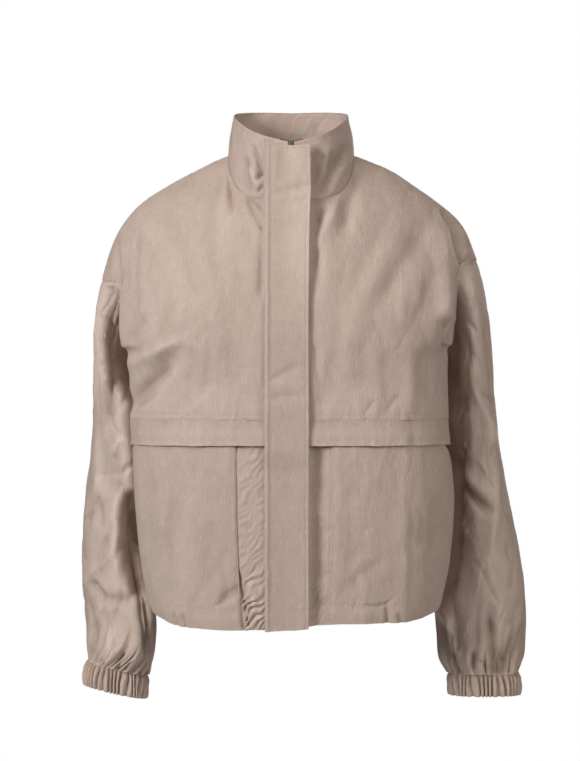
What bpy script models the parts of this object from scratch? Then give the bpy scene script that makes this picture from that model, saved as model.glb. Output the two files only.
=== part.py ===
"""Funnel neck jacket, filled out as if worn, with no wearer.

The garment faces -Y and +Z is up. The origin is the middle of the neck base, where the wearer holds it.
Sides are the wearer's: the left side is +X. Every panel is a wall of cloth on a surface that runs through
sections, and each section is a row of sizes in the tables below.
"""
import bpy
import numpy as np

# Driving sizes, in metres.
MM = 0.001
CLOTH = 1.2 * MM            # one layer of cloth, with its seam allowances
DOUBLE = 2.0 * MM           # doubled cloth: collar and placket
SEAM_GAP = 0.3 * MM         # between two pieces that are sewn together
ARMHOLE_GAP = 0.5 * MM      # from the armhole's edge to the sleeve
LAYER_GAP = 0.3 * MM        # between a pocket and the panel it lies on
FLAP_LIFT = 1.9 * MM        # how far the upper front stands out at the flap seam
FLAP_STAND = 4.6 * MM       # how far the flap's lower edge stands out
FLAP_TUCK = 4.0 * MM        # how far a flap runs in under the placket
PLACKET_RIGHT = -32.0 * MM  # the placket's sewn side
PLACKET_LEFT = 21.0 * MM    # the placket's free side
PLACKET_STAND = 3.0 * MM    # the placket's outer face over a plain front
PLACKET_TOP = (0.96, 0.86)  # where its top edge ends on the collar, on the sewn and on the free side
TAPE_WIDTH = 13.0 * MM
TAPE_WALL = 1.0 * MM
CUFF_WAVES = 28             # gathers round each cuff
CUFF_WAVE_DEPTH = 1.4 * MM
SLEEVE_WAVE_DEPTH = 1.6 * MM
HEM_WAVES = 4               # shallow waves in each quarter of the hem
HEM_WAVE_DEPTH = 1.2 * MM
POCKET_S = {"right": 0.222, "left": 0.157}  # inner seam of each pocket, as a share of the front
MOUTH_S = 0.70              # where the slanted pocket mouth starts
MOUTH_DROP = 34.0 * MM      # how far the mouth falls towards the side seam

# Sections of the body below the underarm, bottom first, in millimetres. path: way up from the front hem;
# front, back: y at the centre front and back; wide, wide_y: where the front is widest; seam, seam_y: the
# side seam; z, z_side, z_back: height at the front, side seam and back; lean: extra width on the left.
BODY = (
    # path, front, back, wide, wide_y, seam, seam_y, z, z_side, z_back, lean
    (0, -118, 99, 177, -40, 167, 34, -586, -566, -574, 5),
    (28, -121, 102, 184, -44, 172, 33, -559, -543, -548, 5),
    (88, -128, 106, 193, -48, 177, 32, -500, -496, -498, 5),
    (158, -134, 110, 198, -51, 180, 31, -430, -430, -430, 4),
    (226, -138, 113, 197, -53, 181, 30, -362, -362, -362, 0),
    (257, -139, 114, 197, -54, 181, 29, -331, -331, -331, -2),
    (314, -140, 115, 199, -58, 174, 27, -275, -246, -215, -4),
)
SIDE_ROWS = len(BODY)
# The hem hangs a little lower on the right front than on the left: extra height of its five points.
HEM_DROP = {"right": (0, -4, -7.5, -3, 0), "left": (0, 3.7, -1.5, -1, 0)}

# Sections above the underarm, from the bust up over the shoulder and down the back, in millimetres. Each
# has five points from the neck or centre to the armhole: inner, breast, yoke, edge and seam. lean as above,
# and drop lowers the seam point on the right side and raises it on the left.
YOKE = (
    # path, inner, breast, yoke, edge, seam, lean, drop
    (362, (4, -138, -225), (77, -137, -228), (147, -124, -230), (206, -66, -236), (180, -18, -224), -5, 2),
    (412, (4, -132, -175), (78, -130, -180), (150, -115, -186), (210, -68, -198), (195, -44, -190), -4, 5),
    (465, (4, -120, -122), (80, -113, -130), (155, -95, -142), (211, -62, -168), (206, -50, -166), -3, 8),
    (525, (4, -97, -58), (84, -86, -82), (158, -72, -108), (205, -55, -138), (216, -43, -150), -2, 10),
    (577, (61, -70, -49), (112, -58, -52), (170, -48, -76), (213, -36, -113), (230, -28, -146), -3, 12),
    (630, (80, -6, 0), (130, -6, -18), (182, -5, -50), (220, -2, -94), (238, 2, -143), -2, 12),
    (683, (58, 48, 2), (111, 40, -21), (171, 40, -57), (214, 40, -101), (231, 42, -148), -2, 11),
    (735, (0, 66, 2), (72, 77, -24), (142, 83, -67), (196, 80, -122), (216, 73, -164), 0, 9),
    (800, (0, 92, -66), (74, 98, -91), (143, 101, -123), (191, 92, -166), (202, 85, -190), 0, 6),
    (866, (0, 108, -137), (75, 111, -152), (138, 106, -172), (178, 84, -206), (185, 66, -222), 0, 3),
)
S_KNOTS = np.array((0.0, 0.25, 0.5, 0.77, 1.0))
FRONT_FULL = 2.5            # how square the front sections are: 2 is an ellipse
BACK_FULL = 3.0

# The collar's top edge over the neckline, in millimetres: path on the neckline, and the rim's point there.
RIM = (
    # path, x, y, z
    (525, 4, -86, 13),
    (577, 47, -68, 27),
    (630, 72, -8, 52),
    (683, 55, 44, 62),
    (735, 0, 59, 63),
)
COLLAR_BULGE = 1.5 * MM

# Sleeve rings below the armhole, in millimetres. way: distance down the arm; z, slope: height of the ring
# and how it tilts down towards the body; cx, rx: middle and half width on each side; cy, ry: the same in
# depth; turn: how far its front swings out from the body on each side; wave: share of the gathers.
SLEEVE = (
    # way, z, slope, cx_right, cx_left, rx_right, rx_left, cy, ry, turn_right, turn_left, wave
    (95, -245, 0.85, 217, 219, 28, 31, 33, 68, 14, 14, 0.0),
    (170, -320, 0.50, 222, 222, 32, 35, 42, 68, 0, 14, 0.0),
    (250, -400, 0.20, 224, 228, 32.5, 41, 50, 65, -18, 12, 0.0),
    (320, -470, 0.10, 230, 236, 36.5, 50, 55, 62, -20, 8, 0.15),
    (395, -545, 0.00, 224, 243, 42, 57, 55, 58, -24, 5, 0.3),
    (450, -600, 0.00, 220, 245, 38, 58, 51, 54, -28, 3, 0.8),
    (482, -632, 0.00, 221, 245, 42, 55, 47, 47, -14, 0, 1.0),
    (500, -648, 0.00, 223, 247, 41, 47, 45, 36, 0, 0, 0.7),
)
OVERARM = 0.35              # angle of the overarm seam, forward of the outermost line, in radians
# Cuff rings, in millimetres; down is a share of the cuff's height.
CUFF = (
    # down, cx_right, cx_left, rx_right, rx_left, cy, ry
    (0.0, 224, 248, 40, 46, 45, 33),
    (0.5, 226, 249, 39.5, 45, 45, 31),
    (1.0, 226, 249, 39, 44.5, 45, 31),
)
CUFF_TOP = {"right": -652 * MM, "left": -658 * MM}  # where each sleeve ends; the right one rides higher
CUFF_HEIGHT = {"right": 30 * MM, "left": 28 * MM}
CUFF_TILT = {"right": 0.22, "left": 0.0}  # how far each cuff rises for its distance out from its middle

# The largest folds of the fronts, seen from the front, in millimetres: a line from one point to another,
# its half width, and its depth, where a trough is negative.
FOLDS = (
    # side, x, z, x, z, width, depth
    ("right", 196, -312, 140, -246, 13, -5.0),
    ("right", 178, -258, 150, -226, 14, 3.0),
    ("right", 74, -36, 92, -150, 11, -3.0),
    ("right", 62, -58, 40, -130, 8, -2.0),
    ("left", 70, -52, 66, -100, 11, -4.0),
    ("left", 182, -70, 112, -190, 12, -3.0),
    ("left", 134, -80, 60, -250, 12, 2.5),
    ("left", 190, -210, 184, -240, 8, -5.0),
    ("left", 148, -340, 146, -560, 7, -2.0),
)
# The largest folds of the sleeves: lines over angle, in degrees, where 0 faces out and 90 faces front, and
# way down the arm, in millimetres.
SLEEVE_FOLDS = (
    # side, angle, way, angle, way, width, depth
    ("right", 88, 45, 96, 130, 14, -5.0),
    ("right", 63, 180, 63, 320, 12, 3.0),
    ("right", 120, 300, 70, 400, 11, -3.0),
    ("left", 74, 30, 78, 90, 11, 2.5),
    ("left", 84, 170, 100, 290, 12, -3.0),
    ("left", 130, 425, 126, 478, 9, -4.0),
    ("left", 82, 420, 70, 478, 9, -4.0),
    ("left", 45, 420, 54, 486, 9, -3.5),
    ("right", -80, 240, -40, 330, 14, -4.0),
    ("left", -80, 220, -45, 320, 14, -4.0),
)

# Lines of the grids: shares of the way across a panel.
FRONT_S = (0.0, 0.05, 0.11, 0.19, 0.28, 0.37, 0.46, 0.55, 0.63, 0.70, 0.77, 0.84, 0.92, 1.0)
BACK_S = (0.0, 0.1, 0.2, 0.3, 0.42, 0.53, 0.64, 0.75, 0.84, 0.92, 1.0)
UNDERARM, NECK, SHOULDER, NAPE = 314, 525, 630, 735
SPAN = 2 * UNDERARM + (866 + 66 - UNDERARM)
BACK_UNDERARM = SPAN - UNDERARM
FLAP_EDGE, FLAP_SEAM = 226, 257
LOWER_PATHS = np.array((0, 9, 18, 28, 58, 88, 123, 158, 192, 222, 240, FLAP_SEAM), float)
ARMHOLE_PATHS = np.linspace(UNDERARM, NECK, 11)
UPPER_PATHS = np.concatenate(((FLAP_SEAM, 275, 294), ARMHOLE_PATHS))
NECK_PATHS = np.linspace(NECK, SHOULDER, 7)
NAPE_PATHS = np.linspace(SHOULDER, NAPE, 7)
BLADE_PATHS = np.linspace(NAPE, BACK_UNDERARM, 11)


def spline(knots, values, at, limited=False):
    """Smooth curve through values (K, N, 3) at knots (K), at one place for each of the N columns.

    With limited, a run of values that turns back has a level tangent there, so it doesn't overshoot.
    """
    knots = np.asarray(knots, float)
    step = np.diff(knots)[:, None, None]
    slope = np.diff(values, axis=0) / step
    tangent = np.zeros_like(values)
    before, after = slope[:-1], slope[1:]
    if limited:
        both = before * after
        total = np.where(np.abs(before + after) < 1e-12, 1.0, before + after)
        tangent[1:-1] = np.where(both > 0, 2 * both / total, 0.0)
    else:
        tangent[1:-1] = (step[1:] * before + step[:-1] * after) / (step[1:] + step[:-1])
    tangent[0] = 1.5 * slope[0] - 0.5 * tangent[1]
    tangent[-1] = 1.5 * slope[-1] - 0.5 * tangent[-2]
    k = np.clip(np.searchsorted(knots, at, side="right") - 1, 0, len(knots) - 2)
    n = np.arange(values.shape[1])
    width = (knots[k + 1] - knots[k])[:, None]
    u = ((at - knots[k]) / width[:, 0])[:, None]
    near, far = values[k, n], values[k + 1, n]
    start, end = tangent[k, n] * width, tangent[k + 1, n] * width
    return ((2 * u**3 - 3 * u**2 + 1) * near + (u**3 - 2 * u**2 + u) * start
            + (3 * u**2 - 2 * u**3) * far + (u**3 - u**2) * end)


def ramp(low, high, value):
    """Smooth step from 0 at low to 1 at high; low may be the larger."""
    u = np.clip((value - low) / (high - low), 0.0, 1.0)
    return u * u * (3 - 2 * u)


def unit(vectors):
    return vectors / np.maximum(np.linalg.norm(vectors, axis=-1, keepdims=True), 1e-12)


def front_section(row):
    """Five points of a front section: a squared quarter oval to the widest point, then in to the seam."""
    path, front, back, wide, wide_y, seam, seam_y, z, z_side, z_back, lean = row
    points = []
    for share in (0.0, 0.365, 0.71, 1.0):
        x = 4 + (wide - 4) * share
        y = wide_y + (front - wide_y) * (1 - share**FRONT_FULL) ** (1 / FRONT_FULL)
        height = z + (z_side - z) * 0.85 * share**2.8
        points.append((x, y, height))
    return points + [(seam, seam_y, z_side)]


def back_section(row):
    """Five points of a back section: a squared quarter oval from the centre back to the seam."""
    path, front, back, wide, wide_y, seam, seam_y, z, z_side, z_back, lean = row
    points = []
    for share in (0.0, 0.42, 0.76, 0.95, 1.0):
        y = seam_y + (back - seam_y) * (1 - share**BACK_FULL) ** (1 / BACK_FULL)
        points.append((seam * share, y, z_back + (z_side - z_back) * share**2))
    return points


def section_table(side):
    """Points of every section on one side (5, R, 3) and their places on the path (R), in metres."""
    sign = 1 if side == "left" else -1
    rows, paths = [], []
    share = np.array((0.0, 0.15, 0.5, 1.0, 1.0))
    last = np.array((0.0, 0.0, 0.1, 0.5, 1.0))

    def add(path, points, lean, drop):
        points = np.array(points, float)
        points[:, 0] += sign * lean * share
        points[:, 2] += sign * drop * last
        points[:, 0] *= sign
        rows.append(points)
        paths.append(path)

    for row in BODY:
        points = np.array(front_section(row), float)
        points[:, 2] += np.array(HEM_DROP[side]) * ramp(BODY[2][0], 0, row[0])
        add(row[0], points, row[-1], 0)
    for row in YOKE:
        add(row[0], row[1:6], row[6], row[7])
    for row in reversed(BODY):
        add(SPAN - row[0], back_section(row), row[-1], 0)
    return np.transpose(np.array(rows), (1, 0, 2)) * MM, np.array(paths, float)


TABLES = {side: section_table(side) for side in ("right", "left")}


def along_path(paths, sections, path):
    """Curve through the sections, limited in width, so it doesn't swing past where the width turns."""
    points = spline(paths, sections, path)
    points[:, 0] = spline(paths, sections, path, limited=True)[:, 0]
    return points


def plain_body(side, s, path):
    """Point of one half of the body: s from the centre to the seam, path from the front hem to the back's."""
    table, paths = TABLES[side]
    count = s.size
    rows = table.shape[1]
    across = np.repeat(table, count, axis=1)
    sections = spline(S_KNOTS, across, np.tile(s, rows), limited=True).reshape(rows, count, 3)
    points = along_path(paths, sections, path)
    # The neckline meets the centre front and the centre back at a corner, so near the centre each of the
    # three lines is a curve of its own.
    cut = points.copy()
    for first, last in ((0, NECK), (NECK, NAPE), (NAPE, SPAN)):
        rows_here = (paths >= first) & (paths <= last)
        here = (path >= first) & (path <= last)
        cut[here] = spline(paths[rows_here], sections[rows_here][:, here], path[here])
    points += (cut - points) * ramp(S_KNOTS[1], 0.0, s)[:, None]
    # Front and back share one side seam.
    edge = np.repeat(table[4][:, None, :], count, axis=1)
    low = np.minimum(path, SPAN - path)
    shared = spline(paths[:SIDE_ROWS], edge[:SIDE_ROWS], np.minimum(low, UNDERARM))
    own = along_path(paths, edge, path)
    pull = np.where(low < UNDERARM, ramp(S_KNOTS[3], 1.0, s), 0.0)
    return points + pull[:, None] * (shared - own)


def fold_depth(folds, side, across, up):
    """Sum of a side's large folds at places given in millimetres: soft troughs and ridges along lines."""
    total = np.zeros(np.shape(across))
    for where, a0, u0, a1, u1, width, depth in folds:
        if where != side:
            continue
        length = np.hypot(a1 - a0, u1 - u0)
        along = ((across - a0) * (a1 - a0) + (up - u0) * (u1 - u0)) / length**2
        off = ((across - a0) * (u1 - u0) - (up - u0) * (a1 - a0)) / length
        total += depth * np.exp(-(off / width) ** 2) * ramp(-0.2, 0.2, along) * ramp(1.25, 0.8, along)
    return total * MM


def body_frame(side, s, path):
    """Point and outward normal of the plain body."""
    step_s, step_p = 2e-3, 0.5
    sign = 1 if side == "left" else -1
    points = plain_body(side, s, path)
    right, left = np.maximum(s - step_s, 0.0), np.minimum(s + step_s, 1.0)
    below, above = np.maximum(path - step_p, 0), np.minimum(path + step_p, SPAN)
    ds = plain_body(side, left, path) - plain_body(side, right, path)
    dp = plain_body(side, s, above) - plain_body(side, s, below)
    return points, unit(np.cross(ds, dp)) * sign


def body(side, s, path):
    """Point and outward normal of one half of the body, with its large folds and its hem's waves."""
    s, path = np.broadcast_arrays(np.asarray(s, float), np.asarray(path, float))
    shape = s.shape
    s, path = s.ravel(), path.ravel()
    points, normal = body_frame(side, s, path)
    inside = ramp(0.0, 0.03, s) * ramp(1.0, 0.9, s)
    front = ramp(SHOULDER, NECK, path)
    clear = ramp(abs(PLACKET_RIGHT), abs(PLACKET_RIGHT) + 14 * MM, np.abs(points[:, 0]))
    move = fold_depth(FOLDS, side, np.abs(points[:, 0]) / MM, points[:, 2] / MM) * inside * front * clear
    low = np.minimum(path, SPAN - path)
    move += HEM_WAVE_DEPTH * np.sin(2 * np.pi * HEM_WAVES * s) * ramp(70, 0, low) * inside * clear
    return (points + normal * move[:, None]).reshape(shape + (3,)), normal.reshape(shape + (3,))


def sleeve_angle(path):
    """Angle round the sleeve of a column from a place on the armhole: 0 faces out, the front is positive."""
    front = OVERARM + (SHOULDER - path) / (SHOULDER - UNDERARM) * (np.pi - OVERARM)
    rear = OVERARM + (SHOULDER - path) / (BACK_UNDERARM - SHOULDER) * (np.pi + OVERARM)
    return np.where(path <= SHOULDER, front, rear)


def sleeve_rings(side, path):
    """Rings of a sleeve at columns that start on the armhole at the given path places (K, N, 3)."""
    sign = 1 if side == "left" else -1
    pick = 1 if side == "left" else 0
    armhole = body(side, 1.0, path)[0]
    past = unit(armhole - body(side, 0.985, path)[0])
    angle = sleeve_angle(path)
    end_shift = CUFF_TOP[side] / MM - SLEEVE[-1][1]
    number = np.arange(len(path))
    rings = [armhole]
    for row in SLEEVE:
        cx, rx = row[3 + pick], row[5 + pick]
        radial = np.cos(angle) * rx + np.sin(angle) * row[9 + pick]
        x = cx + radial
        y = row[7] - np.sin(angle) * row[8]
        ending = ramp(SLEEVE[4][0], SLEEVE[-1][0], row[0])
        z = row[1] + (end_shift + CUFF_TILT[side] * radial) * ending + row[2] * radial
        wave = SLEEVE_WAVE_DEPTH / MM * row[11] * np.where(number % 2 == 0, 1.0, -1.0)
        x = x + wave * np.cos(angle)
        y = y - wave * np.sin(angle)
        rings.append(np.stack((sign * x, y, z), axis=-1) * MM)
    # The sleeve starts a little way past the panel's edge, so the groove between them stays open; at the
    # underarm, where front and back meet, it starts a little way down instead.
    above = np.minimum(path - UNDERARM, BACK_UNDERARM - path)
    open_share = ramp(0, 22, above)[:, None]
    down = unit(rings[1] - armhole)
    rings[0] = armhole + past * ARMHOLE_GAP * open_share + down * ARMHOLE_GAP * (1 - open_share)
    return np.array(rings)


def sleeve(side, path, way):
    """Sleeve surface on a grid of ways (R) by columns (N): points and outward normals (R, N, 3)."""
    sign = 1 if side == "left" else -1
    rings = sleeve_rings(side, path)
    knots = np.array((0,) + tuple(row[0] for row in SLEEVE), float)
    rows = [spline(knots, rings, np.full(len(path), float(w))) for w in way]
    points = np.array(rows)
    along = np.gradient(points, axis=0)
    around = np.gradient(points, axis=1)
    normal = unit(np.cross(along, around)) * sign
    # The underarm seam closes the ring, so its two normals are made one.
    closing = unit(normal[:, 0] + normal[:, -1])
    normal[:, 0], normal[:, -1] = closing, closing
    # Folds: their angles count as lengths on a round of the sleeve's mean radius.
    lengths = [(fold[0], np.radians(fold[1]) * 50, fold[2], np.radians(fold[3]) * 50) + fold[4:]
               for fold in SLEEVE_FOLDS]
    grid_angle, grid_way = np.meshgrid(sleeve_angle(path) * 50, way)
    move = fold_depth(lengths, side, grid_angle, grid_way)
    move = move * ramp(10, 45, grid_way) * ramp(knots[-1], knots[-2], grid_way)
    return points + normal * move[:, :, None], normal


def collar_point(side, path, height):
    """Collar surface over the neckline: height 0 on the seam, 1 on the rim."""
    path, height = np.broadcast_arrays(np.asarray(path, float), np.asarray(height, float))
    shape = path.shape
    path, height = path.ravel(), height.ravel()
    sign = 1 if side == "left" else -1
    base = body(side, 0.0, path)[0]
    rim = np.array([row[1:] for row in RIM], float) * MM
    rim = spline([row[0] for row in RIM], np.repeat(rim[:, None, :], path.size, axis=1), path)
    rim[:, 0] *= sign
    points = base + (rim - base) * height[:, None]
    out = unit(base * (1, 1, 0) + (0, 15 * MM, 0))
    points += out * (COLLAR_BULGE * 4 * height * (1 - height))[:, None]
    return points.reshape(shape + (3,))


def collar(side, path, height):
    """Collar surface and its outward normals on a grid of heights (R) by paths (N)."""
    sign = 1 if side == "left" else -1
    grid_path, grid_height = np.meshgrid(path, height)
    points = collar_point(side, grid_path, grid_height)
    ahead = collar_point(side, np.clip(grid_path + 0.5, NECK, NAPE), grid_height)
    behind = collar_point(side, np.clip(grid_path - 0.5, NECK, NAPE), grid_height)
    up = collar_point(side, grid_path, np.minimum(grid_height + 0.01, 1))
    down = collar_point(side, grid_path, np.maximum(grid_height - 0.01, 0))
    return points, unit(np.cross(ahead - behind, up - down)) * sign


def trim(points, first_row=0.0, last_row=0.0, first_col=0.0, last_col=0.0):
    """Draw the edges of a grid of points in by the given lengths, along the grid."""
    points = points.copy()
    if first_row:
        points[0] += unit(points[1] - points[0]) * first_row
    if last_row:
        points[-1] += unit(points[-2] - points[-1]) * last_row
    if first_col:
        points[:, 0] += unit(points[:, 1] - points[:, 0]) * first_col
    if last_col:
        points[:, -1] += unit(points[:, -2] - points[:, -1]) * last_col
    return points


def material(name, colour, roughness, metallic=0.0):
    made = bpy.data.materials.new(name)
    made.use_nodes = True
    shader = made.node_tree.nodes["Principled BSDF"]
    shader.inputs["Base Color"].default_value = (*colour, 1.0)
    shader.inputs["Roughness"].default_value = roughness
    shader.inputs["Metallic"].default_value = metallic
    return made


def grid_faces(rows, columns, start=0):
    """Triangles of a grid of points, all split the same way so that layers stay parallel."""
    faces = []
    for r in range(rows - 1):
        for c in range(columns - 1):
            a = start + r * columns + c
            b, d, e = a + 1, a + columns, a + columns + 1
            faces += [(a, b, e), (a, e, d)]
    return faces


def shell(name, outer, inner, faces, surface, parent_collection):
    """Closed wall of cloth: an outer and an inner face with the same triangles, and a rim round each edge."""
    outer, inner = outer.reshape(-1, 3), inner.reshape(-1, 3)
    count = len(outer)
    directed = {edge for a, b, c in faces for edge in ((a, b), (b, c), (c, a))}
    rims = [edge for edge in sorted(directed) if (edge[1], edge[0]) not in directed]
    solid = list(faces) + [(c + count, b + count, a + count) for a, b, c in faces]
    for a, b in rims:
        solid += [(b, a, a + count), (b, a + count, b + count)]
    points = np.concatenate((outer, inner))
    corners = points[np.array(solid)]
    volume = np.einsum("ij,ij->i", corners[:, 0], np.cross(corners[:, 1], corners[:, 2])).sum()
    if volume < 0:
        solid = [face[::-1] for face in solid]
    mesh = bpy.data.meshes.new(name)
    mesh.from_pydata(points.tolist(), [], solid)
    mesh.shade_smooth()
    mesh.materials.append(surface)
    made = bpy.data.objects.new(name, mesh)
    parent_collection.objects.link(made)
    return made


def build_fronts(side, cloth, jacket):
    """Upper front, flap, lower front and pocket of one side, all on the same lines."""
    lines = sorted(set(FRONT_S) | {POCKET_S[side]})
    s = np.array(lines)
    half = SEAM_GAP / 2

    upper_path = np.concatenate((UPPER_PATHS, NECK_PATHS[1:]))
    points, normal = body(side, s[None, :], upper_path[:, None])
    lift = FLAP_LIFT * ramp(FLAP_SEAM + 55, FLAP_SEAM, upper_path)[:, None, None]
    # The lift fades out where the wall meets the side seam, so the seam stays shared.
    lift = lift * ramp(1.0, 0.9, s)[None, :, None]
    outer = trim(points, half, half, half, half) + normal * lift
    faces = grid_faces(len(upper_path), len(s))
    shell(f"front_upper_{side}", outer, outer - normal * CLOTH, faces, cloth, jacket)

    lower_path = LOWER_PATHS
    points, normal = body(side, s[None, :], lower_path[:, None])
    outer = trim(points, 0, half, half, half)
    faces = grid_faces(len(lower_path), len(s))
    shell(f"front_lower_{side}", outer, outer - normal * CLOTH, faces, cloth, jacket)

    # The flap starts under the placket's edge, so its first line is its own.
    placket = abs(PLACKET_RIGHT) if side == "right" else PLACKET_LEFT
    start = np.interp(placket - FLAP_TUCK, np.abs(points[-1, :, 0]), s)
    flap_s = np.array([start] + [v for v in lines if v > start + 0.02])
    flap_path = np.array((FLAP_EDGE, FLAP_EDGE + 8, FLAP_SEAM - 9, FLAP_SEAM))
    points, normal = body(side, flap_s[None, :], flap_path[:, None])
    stand = FLAP_LIFT + (FLAP_STAND - FLAP_LIFT) * ramp(FLAP_SEAM, FLAP_EDGE + 10, flap_path)[:, None, None]
    # Round the side it lies close, clear of the sleeve.
    close = CLOTH + LAYER_GAP
    stand = close + (stand - close) * ramp(0.95, 0.72, flap_s)[None, :, None]
    outer = trim(points, 0, half, 0, half + 0.3 * MM) + normal * stand
    faces = grid_faces(len(flap_path), len(flap_s))
    shell(f"flap_{side}", outer, outer - normal * CLOTH, faces, cloth, jacket)

    # The pocket's mouth is cut back towards the side seam.
    pocket_s = s[s >= POCKET_S[side]]
    top = FLAP_EDGE + 4 - MOUTH_DROP / MM * ramp(MOUTH_S, 1.0, pocket_s)
    plain = np.repeat(lower_path[lower_path <= 158][:, None], len(pocket_s), axis=1)
    pocket_path = np.concatenate((plain, (158 + (top - 158) * 0.5)[None, :], top[None, :]))
    points, normal = body(side, np.broadcast_to(pocket_s[None, :], pocket_path.shape), pocket_path)
    outer = trim(points, 0.6 * MM, 0, 0, half + 0.3 * MM) + normal * (CLOTH + LAYER_GAP)
    faces = grid_faces(len(pocket_path), len(pocket_s))
    shell(f"pocket_{side}", outer, outer - normal * CLOTH, faces, cloth, jacket)


def build_back(cloth, jacket):
    """Back: two halves on the same rows, one mesh, open at the neck above the nape."""
    half = SEAM_GAP / 2
    path = np.concatenate((NAPE_PATHS, BLADE_PATHS[1:],
                           SPAN - np.array((FLAP_SEAM, 192, 123, 58, 28, 0))))
    s = np.array(BACK_S)
    grids = {}
    for side in ("right", "left"):
        points, normal = body(side, s[None, :], path[:, None])
        below = path >= NAPE
        normal[below, 0, 0] = 0.0
        normal = unit(normal)
        outer = trim(points, half, 0, 0, half)
        above = path < NAPE
        outer[above, 0] += unit(outer[above, 1] - outer[above, 0]) * half
        nape = int(np.argmax(path == NAPE))
        outer[nape, 0] += unit(outer[nape + 1, 0] - outer[nape, 0]) * half
        outer[path >= NAPE, 0, 0] = 0.0
        grids[side] = (outer, outer - normal * CLOTH)
    rows, columns = len(path), len(s)
    joined = int(np.argmax(path == NAPE))
    # The left half's points follow the right half's, and its centre line below the nape is the right's own.
    number = np.arange(rows * columns).reshape(rows, columns)
    other = number + rows * columns
    other[joined:, 0] = number[joined:, 0]
    faces = grid_faces(rows, columns)
    for a, b, c in grid_faces(rows, columns):
        faces.append(tuple(int(other.ravel()[v]) for v in (c, b, a)))
    outer = np.concatenate([grids[side][0].reshape(-1, 3) for side in ("right", "left")])
    inner = np.concatenate([grids[side][1].reshape(-1, 3) for side in ("right", "left")])
    used = sorted({v for face in faces for v in face})
    place = {v: i for i, v in enumerate(used)}
    faces = [tuple(place[v] for v in face) for face in faces]
    shell("back", outer[used], inner[used], faces, cloth, jacket)


def build_sleeves(side, cloth, jacket):
    """Front and back half of a sleeve, cut along the overarm and underarm seams."""
    half = SEAM_GAP / 2
    front = np.concatenate((ARMHOLE_PATHS, NECK_PATHS[1:]))
    rear = np.concatenate((NAPE_PATHS, BLADE_PATHS[1:]))
    way = np.array((0, 18, 38, 64, 95, 132, 170, 210, 250, 295, 345, 395, 430, 460, 482, 500), float)
    around = np.concatenate((front, rear[1:]))
    points, normal = sleeve(side, around, way)
    cut = len(front)
    for name, columns in (("sleeve_front", slice(0, cut)), ("sleeve_back", slice(cut - 1, None))):
        outer = trim(points[:, columns], 0, 0, half, half)
        inner = outer - normal[:, columns] * CLOTH
        faces = grid_faces(len(way), outer.shape[1])
        shell(f"{name}_{side}", outer, inner, faces, cloth, jacket)


def build_cuff(side, cloth, jacket):
    """Gathered cuff: rings with a wave for each gather."""
    sign = 1 if side == "left" else -1
    pick = 1 if side == "left" else 0
    count = CUFF_WAVES * 4
    angle = np.arange(count) * 2 * np.pi / count
    wave = CUFF_WAVE_DEPTH / MM * np.cos(CUFF_WAVES * angle)
    top = (CUFF_TOP[side] - SEAM_GAP) / MM
    end = SLEEVE[-1][5 + pick]  # the sleeve's half width there, so both tilt alike
    outer, inner = [], []
    for down, *sizes in CUFF:
        cx, rx, cy, ry = sizes[pick], sizes[2 + pick], sizes[4], sizes[5]
        for ring, wall in ((outer, 0.0), (inner, CLOTH / MM)):
            x = cx + (rx - wall + wave) * np.cos(angle)
            y = cy - (ry - wall + wave) * np.sin(angle)
            z = top - down * CUFF_HEIGHT[side] / MM + CUFF_TILT[side] * end * np.cos(angle)
            ring.append(np.stack((sign * x, y, z), axis=-1) * MM)
    faces = []
    for r in range(len(CUFF) - 1):
        for c in range(count):
            a, b = r * count + c, r * count + (c + 1) % count
            faces += [(a, b, b + count), (a, b + count, a + count)]
    shell(f"cuff_{side}", np.array(outer), np.array(inner), faces, cloth, jacket)


def build_collar(cloth, jacket):
    """Funnel collar: one band round the neck, open at the front."""
    half = SEAM_GAP / 2
    path = np.concatenate((NECK_PATHS, NAPE_PATHS[1:]))
    height = np.array((0.0, 0.2, 0.4, 0.6, 0.8, 1.0))
    parts = {}
    for side in ("right", "left"):
        points, normal = collar(side, path, height)
        normal[:, -1, 0] = 0.0
        normal = unit(normal)
        parts[side] = (points, normal)
    points = np.concatenate((parts["right"][0], parts["left"][0][:, -2::-1]), axis=1)
    normal = np.concatenate((parts["right"][1], parts["left"][1][:, -2::-1]), axis=1)
    outer = trim(points, half, 0, 0, 0)
    faces = grid_faces(len(height), points.shape[1])
    shell("collar", outer, outer - normal * DOUBLE, faces, cloth, jacket)


def front_line(x, path):
    """Point and normal of the front at a distance x from the middle, up over the body and then the collar.

    Above the neck row, path counts on up the collar: NECK to NECK + 100 is seam to rim.
    """
    side = "left" if x >= 0 else "right"
    low = path <= NECK
    s = np.zeros(len(path))
    for _ in range(8):
        points = body(side, s, np.minimum(path, NECK))[0]
        s = np.clip(s + (abs(x) - np.abs(points[:, 0])) / (300 * MM), 0, 1)
    points, normal = body(side, s, np.minimum(path, NECK))
    height = np.clip((path - NECK) / 100, 0, 1)
    along = np.full(len(path), float(NECK))
    for _ in range(12):
        band = collar_point(side, along, height)
        along = np.clip(along + (abs(x) - np.abs(band[:, 0])) / MM * 0.8, NECK, SHOULDER)
    band = collar_point(side, along, height)
    ahead = collar_point(side, along + 0.5, height) - band
    higher = collar_point(side, along, np.minimum(height + 0.01, 1))
    lower = collar_point(side, along, np.maximum(height - 0.01, 0))
    sign = 1 if side == "left" else -1
    band_normal = unit(np.cross(ahead, higher - lower)) * sign
    return np.where(low[:, None], points, band), np.where(low[:, None], normal, band_normal)


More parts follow.
